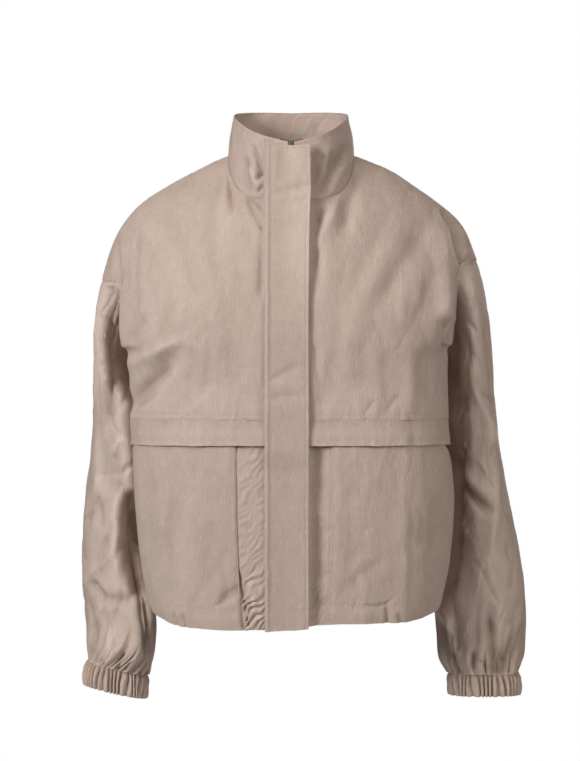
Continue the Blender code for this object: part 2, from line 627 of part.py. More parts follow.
def strip(xs, path, height):
    """Grid of points across xs (C) and up path (R, C), moved out by height (R), and its normals."""
    columns = [front_line(x, path[:, number]) for number, x in enumerate(xs)]
    points = np.stack([column[0] for column in columns], axis=1)
    normal = np.stack([column[1] for column in columns], axis=1)
    # One soft normal across the neck seam, so the strip turns there without a crease.
    smooth = normal.copy()
    for _ in range(3):
        smooth[1:-1] = unit(smooth[:-2] + smooth[1:-1] * 2 + smooth[2:])
    return points + smooth * height[:, None, None], smooth


def build_placket(cloth, jacket):
    """Placket over the zip, from the hem to the collar's rim, a little prouder over the flaps."""
    xs = np.array((PLACKET_RIGHT, -24 * MM, -12 * MM, 0.0, 11 * MM, PLACKET_LEFT))
    on_collar = NECK + np.array((16, 34, 52, 68, 84, 100))
    path = np.concatenate((LOWER_PATHS, UPPER_PATHS[1:], on_collar))
    over = ramp(FLAP_EDGE - 34, FLAP_EDGE - 4, path) * ramp(FLAP_SEAM + 60, FLAP_SEAM + 10, path)
    height = PLACKET_STAND + (FLAP_STAND + LAYER_GAP + DOUBLE - PLACKET_STAND) * over
    height = height + 1.8 * MM * ramp(NECK - 45, NECK - 5, path)
    # The top edge slopes down to the free side.
    top = np.interp(xs, (PLACKET_RIGHT, PLACKET_LEFT), PLACKET_TOP)
    grid_path = np.minimum(path, NECK)[:, None] + np.maximum(path - NECK, 0)[:, None] * top[None, :]
    outer, normal = strip(xs, grid_path, height)
    outer[0, :, 2] -= 2.0 * MM
    shell("placket", outer, outer - normal * DOUBLE, grid_faces(len(path), len(xs)), cloth, jacket)


def build_zip(tape, metal, jacket):
    """Two tapes behind the fronts' edges, and the slider at the top, between the collar's ends."""
    low = np.array((4, 28, 88, 158, FLAP_EDGE, FLAP_SEAM, 314))
    path = np.concatenate((low, np.linspace(362, NECK, 8), NECK + np.array((20, 45, 70, 92))))
    grid_path = np.repeat(path[:, None], 3, axis=1)
    for side, sign in (("right", -1), ("left", 1)):
        xs = sign * np.array((1.6 * MM, 1.6 * MM + TAPE_WIDTH / 2, 1.6 * MM + TAPE_WIDTH))
        depth = -(CLOTH + LAYER_GAP) - (DOUBLE - CLOTH + 1.9 * MM) * ramp(NECK - 75, NECK - 25, path)
        outer, normal = strip(xs, grid_path, depth)
        faces = grid_faces(len(path), 3)
        shell(f"zip_tape_{side}", outer, outer - normal * TAPE_WALL, faces, tape, jacket)
    top, _ = front_line(0.0, np.array((NECK + 100.0,)))
    bpy.ops.mesh.primitive_cube_add(size=1, location=(0, top[0, 1] + 0.9 * MM, top[0, 2] - 3.5 * MM))
    slider = bpy.context.active_object
    slider.name = "zip_slider"
    slider.scale = (6.4 * MM, 2.4 * MM, 9.0 * MM)
    slider.data.materials.append(metal)
    for owner in list(slider.users_collection):
        owner.objects.unlink(slider)
    jacket.objects.link(slider)


def main():
    for old in list(bpy.data.objects):
        bpy.data.objects.remove(old, do_unlink=True)
    jacket = bpy.data.collections.new("funnel_neck_jacket")
    bpy.context.scene.collection.children.link(jacket)
    cloth = material("taupe_cloth", (0.50, 0.41, 0.36), 0.75)
    tape = material("zip_tape", (0.20, 0.19, 0.19), 0.8)
    metal = material("zip_metal", (0.30, 0.30, 0.30), 0.4, 1.0)
    for side in ("right", "left"):
        build_fronts(side, cloth, jacket)
        build_sleeves(side, cloth, jacket)
        build_cuff(side, cloth, jacket)
    build_back(cloth, jacket)
    build_collar(cloth, jacket)
    build_placket(cloth, jacket)
    build_zip(tape, metal, jacket)


main()
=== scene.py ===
import bpy
import numpy as np
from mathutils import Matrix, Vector


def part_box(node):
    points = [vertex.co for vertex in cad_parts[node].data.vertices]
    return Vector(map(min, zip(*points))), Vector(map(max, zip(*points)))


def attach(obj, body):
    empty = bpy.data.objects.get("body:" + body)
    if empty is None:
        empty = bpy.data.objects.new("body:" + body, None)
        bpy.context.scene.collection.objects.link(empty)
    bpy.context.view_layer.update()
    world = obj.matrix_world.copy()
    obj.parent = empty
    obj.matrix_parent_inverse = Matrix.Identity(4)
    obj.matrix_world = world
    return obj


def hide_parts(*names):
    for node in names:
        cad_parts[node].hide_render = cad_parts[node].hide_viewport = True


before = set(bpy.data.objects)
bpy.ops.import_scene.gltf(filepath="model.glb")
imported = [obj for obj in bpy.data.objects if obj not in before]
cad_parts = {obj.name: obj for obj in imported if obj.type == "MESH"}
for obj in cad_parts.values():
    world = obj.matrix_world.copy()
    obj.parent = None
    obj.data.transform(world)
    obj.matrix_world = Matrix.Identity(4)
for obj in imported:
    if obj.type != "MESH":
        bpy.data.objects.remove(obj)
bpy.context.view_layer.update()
print("frame:", len(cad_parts), "solids")

# A funnel neck jacket, filled out as if worn. Tables are in millimetres and meshes in metres.
# Sides are the wearer's: left is +X, and the jacket faces -Y.
mm = 0.001
signs = {"right": -1, "left": 1}
sideNames = ("right", "left")


def ramp(low, high, value):
    # smooth step from 0 at low to 1 at high; low may be the larger
    u = np.clip((value - low) / (high - low), 0, 1)
    return u * u * (3 - 2 * u)


def bell(off, width):
    # 1 in the middle, falling away as e to the minus square of off over width
    return np.exp(-(off / width) ** 2)


def unit(vectors):
    # the same directions at length 1
    return vectors / np.maximum(np.linalg.norm(vectors, axis=-1, keepdims=True), 1e-12)


slopeTurns = np.random.default_rng(11).uniform(0, 2 * np.pi, (256, 256))


def hills(u, v, layer):
    # gradient noise, about -0.7 to 0.7: a seeded slope at each whole place, blended by quintic steps
    u, v = np.broadcast_arrays(np.asarray(u, float), np.asarray(v, float))
    cellU, cellV = np.floor(u).astype(int), np.floor(v).astype(int)
    partU, partV = u - cellU, v - cellV

    def slopeAt(a, b):
        turn = slopeTurns[(cellU + a + 37 * layer) % 256, (cellV + b + 91 * layer) % 256]
        return np.cos(turn) * (partU - a) + np.sin(turn) * (partV - b)

    blendU = partU**3 * (partU * (partU * 6 - 15) + 10)
    blendV = partV**3 * (partV * (partV * 6 - 15) + 10)
    low = slopeAt(0, 0) * (1 - blendU) + slopeAt(1, 0) * blendU
    high = slopeAt(0, 1) * (1 - blendU) + slopeAt(1, 1) * blendU
    return low * (1 - blendV) + high * blendV


def lines(start, stop, step, near=(), fine=None, reach=None):
    # even places from start to stop, with closer ones round each place in near
    fine = fine or step * 0.38
    reach = reach or fine * 3
    places = [np.linspace(start, stop, int(round((stop - start) / step)) + 1)]
    places += [np.arange(place - reach, place + reach + fine / 2, fine) for place in near]
    places = np.unique(np.concatenate(places))
    places = places[(places > start + fine * 0.4) & (places < stop - fine * 0.4)]
    kept = places[np.concatenate(([True], np.diff(places) > fine * 0.45))]
    return np.concatenate(([start], kept, [stop]))


def curveAt(knots, values, at, limited=False):
    # smooth curves through values (K, N, 3) at the knots, read at places (M, N) or (M, 1): Hermite pieces
    # whose tangents weigh the slopes on both sides; a limited one is level where its values turn back
    knots = np.asarray(knots, float)
    step = np.diff(knots)[:, None, None]
    slope = np.diff(values, axis=0) / step
    before, after = slope[:-1], slope[1:]
    tangent = np.zeros_like(values)
    if limited:
        total = np.where(np.abs(before + after) < 1e-12, 1, before + after)
        tangent[1:-1] = np.where(before * after > 0, 2 * before * after / total, 0)
    else:
        tangent[1:-1] = (step[1:] * before + step[:-1] * after) / (step[1:] + step[:-1])
    tangent[0] = 1.5 * slope[0] - 0.5 * tangent[1]
    tangent[-1] = 1.5 * slope[-1] - 0.5 * tangent[-2]
    at = np.broadcast_to(at, (at.shape[0], values.shape[1]))
    k = np.clip(np.searchsorted(knots, at, side="right") - 1, 0, len(knots) - 2)
    n = np.arange(values.shape[1])[None, :]
    width = (knots[k + 1] - knots[k])[..., None]
    u = (at - knots[k])[..., None] / width
    return ((2 * u**3 - 3 * u**2 + 1) * values[k, n] + (u**3 - 2 * u**2 + u) * tangent[k, n] * width
            + (3 * u**2 - 2 * u**3) * values[k + 1, n] + (u**3 - u**2) * tangent[k + 1, n] * width)


def gridNormal(points):
    # normals of a grid (R, C, 3): the cross of its steps along a row and up a column
    return unit(np.cross(np.gradient(points, axis=1), np.gradient(points, axis=0)))


def creases(rows, x, z):
    # sum of folds along lines seen from the front or the back: with q the distance from the line over its
    # width, each adds depth times a soft wave (1 - q^2 / 2) e^(-q^2 / 2), which has low banks, mixed with
    # a sharp crest e^(-1.5 root(q^2 + 0.06)), more of it in narrow ones; the depth wanders along the
    # line, bow curves it, and steep narrows the side that is +X of a line drawn downwards
    warpX = x + 2.6 * hills(x / 33, z / 33, 1) + 0.8 * hills(x / 9, z / 12, 4)
    warpZ = z + 2.6 * hills(x / 33, z / 33, 2)
    total = np.zeros_like(warpX)
    for number, (x0, z0, x1, z1, bow, width, depth, steep) in enumerate(rows):
        length = np.hypot(x1 - x0, z1 - z0)
        t = ((warpX - x0) * (x1 - x0) + (warpZ - z0) * (z1 - z0)) / length**2
        off = ((warpX - x0) * (z1 - z0) - (warpZ - z0) * (x1 - x0)) / length
        inT = np.clip(t, 0, 1)
        off = off - bow * 4 * inT * (1 - inT)
        q = off / (width * np.where(off < 0, steep, 1))
        wander = 1 + 0.5 * hills(t * length / 26, number * 1.7, 3)
        ends = ramp(-0.25, 0.25, t) * ramp(1.25, 0.75, t) * wander
        soft = (1 - 0.5 * q**2) * np.exp(-0.5 * q**2)
        crest = np.exp(-1.5 * (np.sqrt(q**2 + 0.06) - 0.245))
        total += depth * (soft + (crest - soft) * ramp(11, 2, width)) * ends
    return total


def scattered(seed, count, low, high, lean, reach, width, depth):
    # rows of short seeded creases with their middles between two corners; the lean from upright in
    # degrees, the reach, the width and the depth all vary, and one in three is a crest
    draw = np.random.default_rng(seed)
    middle = draw.uniform(low, high, (count, 2))
    turn = np.radians(draw.normal(lean, 20, count))
    half = reach / 2 * draw.uniform(0.5, 1.5, count)
    step = np.stack((np.sin(turn), -np.cos(turn)), axis=1) * half[:, None]
    wide, deep = width * draw.uniform(0.6, 1.5, count), depth * draw.uniform(0.5, 1.5, count)
    deep = deep * draw.choice((-1, -1, 1), count)
    return np.column_stack((middle - step, middle + step, 0 * wide, wide, deep, 0 * wide + 1))


def largeFolds(rows, x, z):
    # the solids' own large folds: depth times e to the minus square of the distance from a line over its
    # width
    total = np.zeros_like(x)
    for x0, z0, x1, z1, width, depth in rows:
        length = np.hypot(x1 - x0, z1 - z0)
        t = ((x - x0) * (x1 - x0) + (z - z0) * (z1 - z0)) / length**2
        off = ((x - x0) * (z1 - z0) - (z - z0) * (x1 - x0)) / length
        total += depth * bell(off, width) * ramp(-0.2, 0.2, t) * ramp(1.25, 0.8, t)
    return total


def crinkle(across, along):
    # the cloth's own unevenness: long narrow hills of three sizes
    return (0.28 * hills(across / 6, along / 15, 11) + 0.6 * hills(across / 13, along / 32, 12)
            + 1.3 * hills(across / 33, along / 62, 13))


def stitchDip(off, across):
    # a sewn row: a narrow groove, with short puckers across it that die out within a few millimetres
    return -0.18 * bell(off, 1.1) + 0.8 * hills(across / 4.4, off / 12, 21) * bell(off, 5.5)


# Finishes

class Wire:
    # one socket of a material's nodes; arithmetic on it adds Math nodes
    def __init__(self, tree, socket=None):
        self.tree = tree
        self.socket = socket

    def node(self, kind, settings=None, inputs=None, output=0):
        made = self.tree.nodes.new(kind)
        for key, value in (settings or {}).items():
            setattr(made, key, value)
        for key, value in (inputs or {}).items():
            if isinstance(value, Wire):
                self.tree.links.new(value.socket, made.inputs[key])
            else:
                made.inputs[key].default_value = value
        return Wire(self.tree, made.outputs[output])

    def math(self, operation, first, second):
        return self.node("ShaderNodeMath", {"operation": operation}, {0: first, 1: second})

    def __add__(self, other):
        return self.math("ADD", self, other)

    def __radd__(self, other):
        return self.math("ADD", other, self)

    def __sub__(self, other):
        return self.math("SUBTRACT", self, other)

    def __rsub__(self, other):
        return self.math("SUBTRACT", other, self)

    def __mul__(self, other):
        return self.math("MULTIPLY", self, other)

    def __rmul__(self, other):
        return self.math("MULTIPLY", other, self)

    def scaled(self, sizes):
        # coordinates divided by the given sizes in metres
        return self.node("ShaderNodeVectorMath", {"operation": "MULTIPLY"},
                         {0: self, 1: tuple(1 / size for size in sizes)})

    def noise(self, sizes, detail=2.0):
        # noise with hills of the given sizes in metres, 0 to 1
        return self.node("ShaderNodeTexNoise", {}, {"Vector": self.scaled(sizes), "Scale": 1.0,
                                                    "Detail": detail, "Roughness": 0.55}, "Fac")

    def between(self, dark, light):
        # a colour that runs from dark where this value is 0 to light where it is 1
        return self.node("ShaderNodeMix", {"data_type": "RGBA"}, {0: self, 6: (*dark, 1), 7: (*light, 1)}, 2)

    def bump(self, strength, distance):
        # a normal with this value as its relief
        return self.node("ShaderNodeBump", {}, {"Strength": strength, "Distance": distance, "Height": self})

    def feed(self, shader, name):
        self.tree.links.new(self.socket, shader.inputs[name])


def newFinish(name, colour, roughness, metallic=0.0, sheen=0.0):
    # a Principled material with its fixed numbers set; returns it, its shader and a Wire on its nodes
    made = bpy.data.materials.new(name)
    made.use_nodes = True
    shader = made.node_tree.nodes["Principled BSDF"]
    shader.inputs["Base Color"].default_value = (*colour, 1)
    shader.inputs["Roughness"].default_value = roughness
    shader.inputs["Metallic"].default_value = metallic
    shader.inputs["Sheen Weight"].default_value = sheen
    shader.inputs["Sheen Roughness"].default_value = 0.45
    shader.inputs["Specular IOR Level"].default_value = 0.35
    return made, shader, Wire(made.node_tree)


clothForm = {
    "dark": (0.47, 0.350, 0.284), "light": (0.72, 0.560, 0.472), "roughness": 0.68, "sheen": 0.05,
    "crinkle": (0.0038, 0.0110, 1), "broadCrinkle": (0.0082, 0.020, 1), "patch": (0.06, 0.11, 1),
    "thread": (0.00055, 0.00055, 1), "bump": (0.75, 0.00075),
}


def clothFinish():
    # crinkled cloth on its own grain: creases where a stretched noise crosses its middle, a broader noise
    # and a fine weave for relief; the tone follows them and the fold attribute, so troughs are darker and
    # crests paler: painted shade in the troughs and painted light on the crests, over a patchy noise that is
    # the cloth's own tone
    form = clothForm
    made, shader, wire = newFinish("crinkledCloth", form["light"], form["roughness"], 0, form["sheen"])
    grain = wire.node("ShaderNodeUVMap", {"uv_map": "grain"})
    fine = wire.math("ABSOLUTE", grain.noise(form["crinkle"], 2.5) - 0.5, 0) * 3.2
    broad = grain.noise(form["broadCrinkle"], 2.0)
    patch = grain.noise(form["patch"], 2.0)
    threads = grain.scaled(form["thread"])
    weave = wire.node("ShaderNodeTexChecker", {}, {"Vector": threads, "Scale": 1.0}, "Fac")
    fold = wire.node("ShaderNodeAttribute", {"attribute_name": "fold"}, output="Fac")
    # patch is the cloth's own random tone; fine, broad and fold follow the relief, so this paints shade in
    # troughs and light on crests
    tone = fine * 0.34 + broad * 0.40 + patch * 0.3 - 0.05 + fold * 0.08
    relief = fine * (patch * 2.6 - 0.4) + broad * 1.3 + weave * 0.12
    shade = wire.node("ShaderNodeClamp", {}, {"Value": tone})
    shade.between(form["dark"], form["light"]).feed(shader, "Base Color")
    (form["roughness"] - 0.05 + fine * 0.1).feed(shader, "Roughness")
    relief.bump(*form["bump"]).feed(shader, "Normal")
    return made


# finishes whose colour wanders: colour in plain views, dark and light, size and detail of the mottling; some
# have a bump (strength, height in metres) or a roughness that follows the mottling (least, and what it adds)
mottledForms = {
    "sewingThread": {"colour": (0.66, 0.55, 0.48), "dark": (0.56, 0.455, 0.39), "light": (0.76, 0.645, 0.565),
                     "sizes": (0.0006, 0.0006, 0.0006), "detail": 1.0, "roughness": 0.6, "sheen": 0.1},
    # the next finish is painted shade: dark flat spindles at the gaps between stitches
    "paintedStitchShade": {"colour": (0.16, 0.11, 0.085), "dark": (0.11, 0.075, 0.058), "light": (0.24, 0.17, 0.135),
                   "sizes": (0.004, 0.004, 0.004), "detail": 1.0, "roughness": 0.9},
    "zipTape": {"colour": (0.05, 0.042, 0.038), "dark": (0.035, 0.03, 0.028), "light": (0.09, 0.078, 0.07),
                "sizes": (0.0008, 0.002, 0.0022), "detail": 1.0, "roughness": 0.8, "sheen": 0.1,
                "bump": (0.5, 0.0003)},
    "zipMetal": {"colour": (0.16, 0.15, 0.145), "dark": (0.11, 0.105, 0.10), "light": (0.26, 0.245, 0.235),
                 "sizes": (0.0015, 0.0015, 0.003), "detail": 3.0, "roughness": 0.42, "metallic": 1.0,
                 "wear": (0.34, 0.18)},
    "paleFloor": {"colour": (0.82, 0.82, 0.81), "dark": (0.80, 0.80, 0.79), "light": (0.84, 0.84, 0.83),
                  "sizes": (0.4, 0.4, 0.4), "detail": 2.0, "roughness": 0.85},
}


def mottledFinish(name):
    # a material that runs between its dark and its light colour on noise in Object coordinates
    form = mottledForms[name]
    made, shader, wire = newFinish(name, form["colour"], form["roughness"], form.get("metallic", 0.0),
                                   form.get("sheen", 0.0))
    mottle = wire.node("ShaderNodeTexCoord", output="Object").noise(form["sizes"], form["detail"])
    mottle.between(form["dark"], form["light"]).feed(shader, "Base Color")
    if "bump" in form:
        mottle.bump(*form["bump"]).feed(shader, "Normal")
    if "wear" in form:
        least, more = form["wear"]
        (least + mottle * more).feed(shader, "Roughness")
    return made


cloth = clothFinish()
# the second is the dark finish of the painted shade between stitches
thread, stitchShade = mottledFinish("sewingThread"), mottledFinish("paintedStitchShade")
tapeCloth, zipMetal = mottledFinish("zipTape"), mottledFinish("zipMetal")


# Meshes

sharpAngle = np.radians(62)  # edges sharper than this are shaded as edges


def fillMesh(name, points, faces, finish, slot):
    # object from points and arrays of faces, each array with its own number of corners
    mesh = bpy.data.meshes.new(f"{name}_cloth" if slot == "cloth" else f"{name}_piece")
    corners = np.concatenate([part.ravel() for part in faces])
    sizes = np.concatenate([np.full(len(part), part.shape[1]) for part in faces])
    mesh.vertices.add(len(points))
    mesh.vertices.foreach_set("co", points.astype(np.float32).ravel())
    mesh.loops.add(len(corners))
    mesh.loops.foreach_set("vertex_index", corners.astype(np.int32))
    mesh.polygons.add(len(sizes))
    mesh.polygons.foreach_set("loop_start", np.concatenate(([0], np.cumsum(sizes)[:-1])).astype(np.int32))
    mesh.update(calc_edges=True)
    mesh.validate()
    mesh.shade_smooth()
    mesh.set_sharp_from_angle(angle=sharpAngle)
    mesh.materials.append(finish)
    made = bpy.data.objects.new(mesh.name, mesh)
    bpy.context.scene.collection.objects.link(made)
    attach(made, "root")
    return made, corners


def gridQuads(rows, columns, wrap=False):
    # the quads of a grid of numbered points; with wrap its last column meets its first
    number = np.arange(rows * columns).reshape(rows, columns)
    if wrap:
        number = np.concatenate((number, number[:, :1]), axis=1)
    corners = (number[:-1, :-1], number[:-1, 1:], number[1:, 1:], number[1:, :-1])
    return np.stack(corners, axis=-1).reshape(-1, 4)


def addWall(name, outer, facing, quads, wall, grain, fold, finish=cloth, slot="cloth"):
    # closed wall of cloth: the outer points, the same points moved in along the mean normal of the quads
    # round them, and a strip of quads along every edge that only one quad has
    count = len(outer)
    corners = outer[quads]
    across = np.cross(corners[:, 2] - corners[:, 0], corners[:, 3] - corners[:, 1])
    if (across * facing[quads[:, 0]]).sum() < 0:
        quads, across = quads[:, ::-1], -across
    out = np.zeros_like(outer)
    for corner in range(4):
        np.add.at(out, quads[:, corner], across)
    out = unit(out)
    edges = np.concatenate([quads[:, (a, (a + 1) % 4)] for a in range(4)])
    single = ~np.isin(edges[:, 0] * count + edges[:, 1], edges[:, 1] * count + edges[:, 0])
    a, b = edges[single].T
    rim = np.stack((b, a, a + count, b + count), axis=1)
    points = np.concatenate((outer, outer - out * wall * mm))
    made, loops = fillMesh(name, points, [quads, quads[:, ::-1] + count, rim], finish, slot)
    uv = made.data.uv_layers.new(name="grain")
    uv.data.foreach_set("uv", np.tile(grain, (2, 1))[loops].astype(np.float32).ravel())
    # a point attribute fold from the given values; the cloth's tone follows it, painted shade where it is low
    # and painted light where it is high
    shade = made.data.attributes.new("fold", "FLOAT", "POINT")
    shade.data.foreach_set("value", np.tile(fold, 2).astype(np.float32))
    area = 0.5 * np.linalg.norm(across, axis=1).sum()
    return made, area


def grainOf(points):
    # the cloth's own coordinates in metres: lengths along the rows and up the columns of its grid
    across = np.cumsum(np.linalg.norm(np.diff(points, axis=1, prepend=points[:, :1]), axis=2), axis=1)
    along = np.cumsum(np.linalg.norm(np.diff(points, axis=0, prepend=points[:1]), axis=2), axis=0)
    return np.stack((across, along), axis=-1)


def placesOn(points):
    # places on a grid in millimetres: x and z in space, and the grain's two; and the grain in metres
    grain = grainOf(points)
    return points[..., 0] / mm, points[..., 2] / mm, grain[..., 0] / mm, grain[..., 1] / mm, grain


def trimmed(points, firstRow=0, lastRow=0, firstCol=0, lastCol=0):
    # a grid with its edges drawn in along it by the given millimetres
    points = points.copy()
    points[0] += unit(points[1] - points[0]) * firstRow * mm
    points[-1] += unit(points[-2] - points[-1]) * lastRow * mm
    points[:, 0] += unit(points[:, 1] - points[:, 0]) * firstCol * mm
    points[:, -1] += unit(points[:, -2] - points[:, -1]) * lastCol * mm
    return points


panels = {}  # each cloth piece's outer grid, for the stitches that lie on it


def addPanel(name, points, normal, lift, wall, rows, columns, grain):
    # one cut piece: a grid moved out along its normals by lift millimetres, made a wall and declared as a
    # sheet
    outer = points + normal * (lift * mm)[..., None]
    # the lift about its mean goes to the fold attribute: painted shade in the troughs, painted light on the
    # crests
    made, area = addWall(name, outer.reshape(-1, 3), normal.reshape(-1, 3), gridQuads(*outer.shape[:2]), wall,
                         grain.reshape(-1, 2), (lift - np.mean(lift)).ravel())
    declare(made, name, outer, outer, area)
    keepPanel(name, outer, normal, rows, columns)


def keepPanel(name, outer, normal, rows, columns):
    # note a piece's outer grid with its own normals, turned the way of the given ones
    facing = gridNormal(outer)
    facing *= np.sign((facing * normal).sum())
    panels[name] = {"outer": outer, "normal": facing, "rows": rows, "columns": columns}


def declare(made, name, across, along, area, gather=1.0, note=""):
    # state the cut: the longest row of the grid across, the longest column of the grid along, and the
    # area, with the length that the gathers take up
    width = np.linalg.norm(np.diff(across, axis=1), axis=2).sum(axis=1).max() * gather
    length = np.linalg.norm(np.diff(along, axis=0), axis=2).sum(axis=0).max()
    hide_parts(name)
    print(f"{name}: cut {width * 1000:.0f} x {length * 1000:.0f} mm, {area * gather * 1e4:.0f} cm2, "
          f"{note}{len(made.data.loop_triangles)} triangles")


# The body's surface

bodyForm = {
    # below the underarm: path up from the front hem; y at the centre front and back; widest x of the
    # front and its y; side seam x and y; heights at the front, side and back; extra width on the left
    "low": ((0, -118, 99, 177, -40, 167, 34, -586, -566, -574, 5),
            (28, -121, 102, 184, -44, 172, 33, -559, -543, -548, 5),
            (88, -128, 106, 193, -48, 177, 32, -500, -496, -498, 5),
            (158, -134, 110, 198, -51, 180, 31, -430, -430, -430, 4),
            (226, -138, 113, 197, -53, 181, 30, -362, -362, -362, 0),
            (257, -139, 114, 197, -54, 181, 29, -331, -331, -331, -2),
            (314, -140, 115, 199, -58, 174, 27, -275, -246, -215, -4)),
    # above it, over the shoulder and down the back: path, five points from the centre or neck to the armhole,
    # extra width on the left, and how far the armhole rises there
    "high": (
        (362, (4, -138, -225), (77, -137, -228), (147, -124, -230), (206, -66, -236), (180, -18, -224), -5, 2),
        (412, (4, -132, -175), (78, -130, -180), (150, -115, -186), (210, -68, -198), (195, -44, -190), -4, 5),
        (465, (4, -120, -122), (80, -113, -130), (155, -95, -142), (211, -62, -168), (206, -50, -166), -3, 8),
        (525, (4, -97, -58), (84, -86, -82), (158, -72, -108), (205, -55, -138), (216, -43, -150), -2, 10),
        (577, (61, -70, -49), (112, -58, -52), (170, -48, -76), (213, -36, -113), (230, -28, -146), -3, 12),
        (630, (80, -6, 0), (130, -6, -18), (182, -5, -50), (220, -2, -94), (238, 2, -143), -2, 12),
        (683, (58, 48, 2), (111, 40, -21), (171, 40, -57), (214, 40, -101), (231, 42, -148), -2, 11),
        (735, (0, 66, 2), (72, 77, -24), (142, 83, -67), (196, 80, -122), (216, 73, -164), 0, 9),
        (800, (0, 92, -66), (74, 98, -91), (143, 101, -123), (191, 92, -166), (202, 85, -190), 0, 6),
        (866, (0, 108, -137), (75, 111, -152), (138, 106, -172), (178, 84, -206), (185, 66, -222), 0, 3),
    ),
    "across": np.array((0, 0.25, 0.5, 0.77, 1)), "frontFull": 2.5, "backFull": 3,
    # how far the shoulders sink and over which reach of the path, and where across them it starts and ends
    "shoulderSink": (4.2, 62), "sinkFrom": {"right": (0, 0.24, 0.34, 0.62), "left": (0.16, 0.42, 0.46, 0.78)},
    "hemWaves": 4, "hemWaveDepth": 1.2,
    "hemDrop": {"right": (0, -4, -7.5, -3, 0), "left": (0, 3.7, -1.5, -1, 0)},
    # largest folds of the fronts: x, z, x, z, width, depth
    "folds": {"right": ((196, -312, 140, -246, 13, -5), (178, -258, 150, -226, 14, 3),
                        (74, -36, 92, -150, 11, -3), (62, -58, 40, -130, 8, -2)),
              "left": ((70, -52, 66, -100, 11, -4), (182, -70, 112, -190, 14, -2.6),
                       (134, -80, 60, -250, 14, 2.2), (190, -210, 184, -240, 8, -5),
                       (148, -340, 146, -560, 7, -2))},
}
# places on the path in millimetres, from the front hem over the shoulder to the back hem
underarm, neck, shoulder, nape, backUnderarm, span = 314, 525, 630, 735, 932, 1246
flapEdge, flapSeam = 226, 257
seamGap = 0.14  # between two sewn pieces


def sectionTable(side):
    # five points of every section in metres (R, 5, 3), and their places on the path: squared ovals below the
    # underarm, the given points above it, and the back's ovals down to its hem
    sign = signs[side]
    low = np.array(bodyForm["low"], float)
    path, front, back, wide, wideY, seam, seamY, z, zSide, zBack, lean = (column[:, None] for column in low.T)
    leanShare, dropShare = np.array((0, 0.15, 0.5, 1, 1)), np.array((0, 0, 0.1, 0.5, 1))
    share, full = np.array((0, 0.365, 0.71, 1)), bodyForm["frontFull"]
    frontX = np.concatenate((4 + (wide - 4) * share, seam), axis=1) + sign * lean * leanShare
    frontY = np.concatenate((wideY + (front - wideY) * (1 - share**full) ** (1 / full), seamY), axis=1)
    frontZ = np.concatenate((z + (zSide - z) * 0.85 * share**2.8, zSide), axis=1)
    frontZ += np.array(bodyForm["hemDrop"][side]) * ramp(low[2, 0], 0, path)
    share, full = np.array((0, 0.42, 0.76, 0.95, 1)), bodyForm["backFull"]
    backX = seam * share + sign * lean * leanShare
    backY = seamY + (back - seamY) * (1 - share**full) ** (1 / full)
    backZ = zBack + (zSide - zBack) * share**2
    high = np.array([row[1:6] for row in bodyForm["high"]], float)
    lean, drop = (np.array([row[at] for row in bodyForm["high"]], float)[:, None] for at in (6, 7))
    high[..., 0] += sign * lean * leanShare
    high[..., 2] += sign * drop * dropShare
    frontRows, backRows = np.stack((frontX, frontY, frontZ), -1), np.stack((backX, backY, backZ), -1)
    rows = np.concatenate((frontRows, high, backRows[::-1]))
    rows[..., 0] *= sign
    highPath = np.array([row[0] for row in bodyForm["high"]], float)
    return rows * mm, np.concatenate((low[:, 0], highPath, span - low[::-1, 0]))


sectionTables = {side: sectionTable(side) for side in sideNames}


def alongPath(paths, sections, path):
    # the curve through the sections, limited in width so that it doesn't swing past where the width turns
    points = curveAt(paths, sections, path)
    points[..., 0] = curveAt(paths, sections, path, True)[..., 0]
    return points


def plainBody(side, s, path):
    # half of the body on a grid: s (C) from the centre to the seam, path (R, C) from the front hem over the
    # shoulder to the back hem; curves across the sections, then curves along the path through them
    table, paths = sectionTables[side]
    knots, sideRows = bodyForm["across"], len(bodyForm["low"])
    sections = curveAt(knots, table.transpose(1, 0, 2), np.repeat(s[:, None], len(paths), axis=1), True)
    sections = sections.transpose(1, 0, 2)
    path = np.broadcast_to(path, (path.shape[0], len(s)))
    points = alongPath(paths, sections, path)
    # near the centre the front edge, the neckline and the centre back are three curves that meet at corners
    apart = points.copy()
    for first, last in ((0, neck), (neck, nape), (nape, span)):
        mine = (paths >= first) & (paths <= last)
        part = curveAt(paths[mine], sections[mine], np.clip(path, first, last))
        apart = np.where(((path >= first) & (path <= last))[..., None], part, apart)
    points = points + (apart - points) * ramp(knots[1], 0, s)[None, :, None]
    # front and back share one side seam
    edge = np.repeat(table[:, 4:5], len(s), axis=1)
    low = np.minimum(path, span - path)
    shared = curveAt(paths[:sideRows], edge[:sideRows], np.minimum(low, underarm))
    pull = np.where(low < underarm, ramp(knots[3], 1, s)[None, :], 0)
    return points + pull[..., None] * (shared - alongPath(paths, edge, path))


def body(side, s, path):
    # the plain body with its largest folds and its hem's waves, and its outward normals
    points = plainBody(side, s, path)
    normal = gridNormal(points) * signs[side]
    x, z = np.abs(points[..., 0]) / mm, points[..., 2] / mm
    inside = ramp(0, 0.03, s) * ramp(1, 0.9, s) * ramp(32, 46, x)
    low = np.minimum(path, span - path)
    move = largeFolds(bodyForm["folds"][side], x, z) * inside * ramp(shoulder, neck, path)
    waves = bodyForm["hemWaveDepth"] * np.sin(2 * np.pi * bodyForm["hemWaves"] * s)
    move += waves * ramp(70, 0, low) * inside
    # the shoulders slope a little more straight between the collar and the armhole
    first, full, last, end = bodyForm["sinkFrom"][side]
    depth, reach = bodyForm["shoulderSink"]
    move -= depth * bell(path - shoulder, reach) * ramp(first, full, s) * ramp(end, last, s)
    return points + normal * (move * mm)[..., None], normal


# Fronts, flaps and pockets

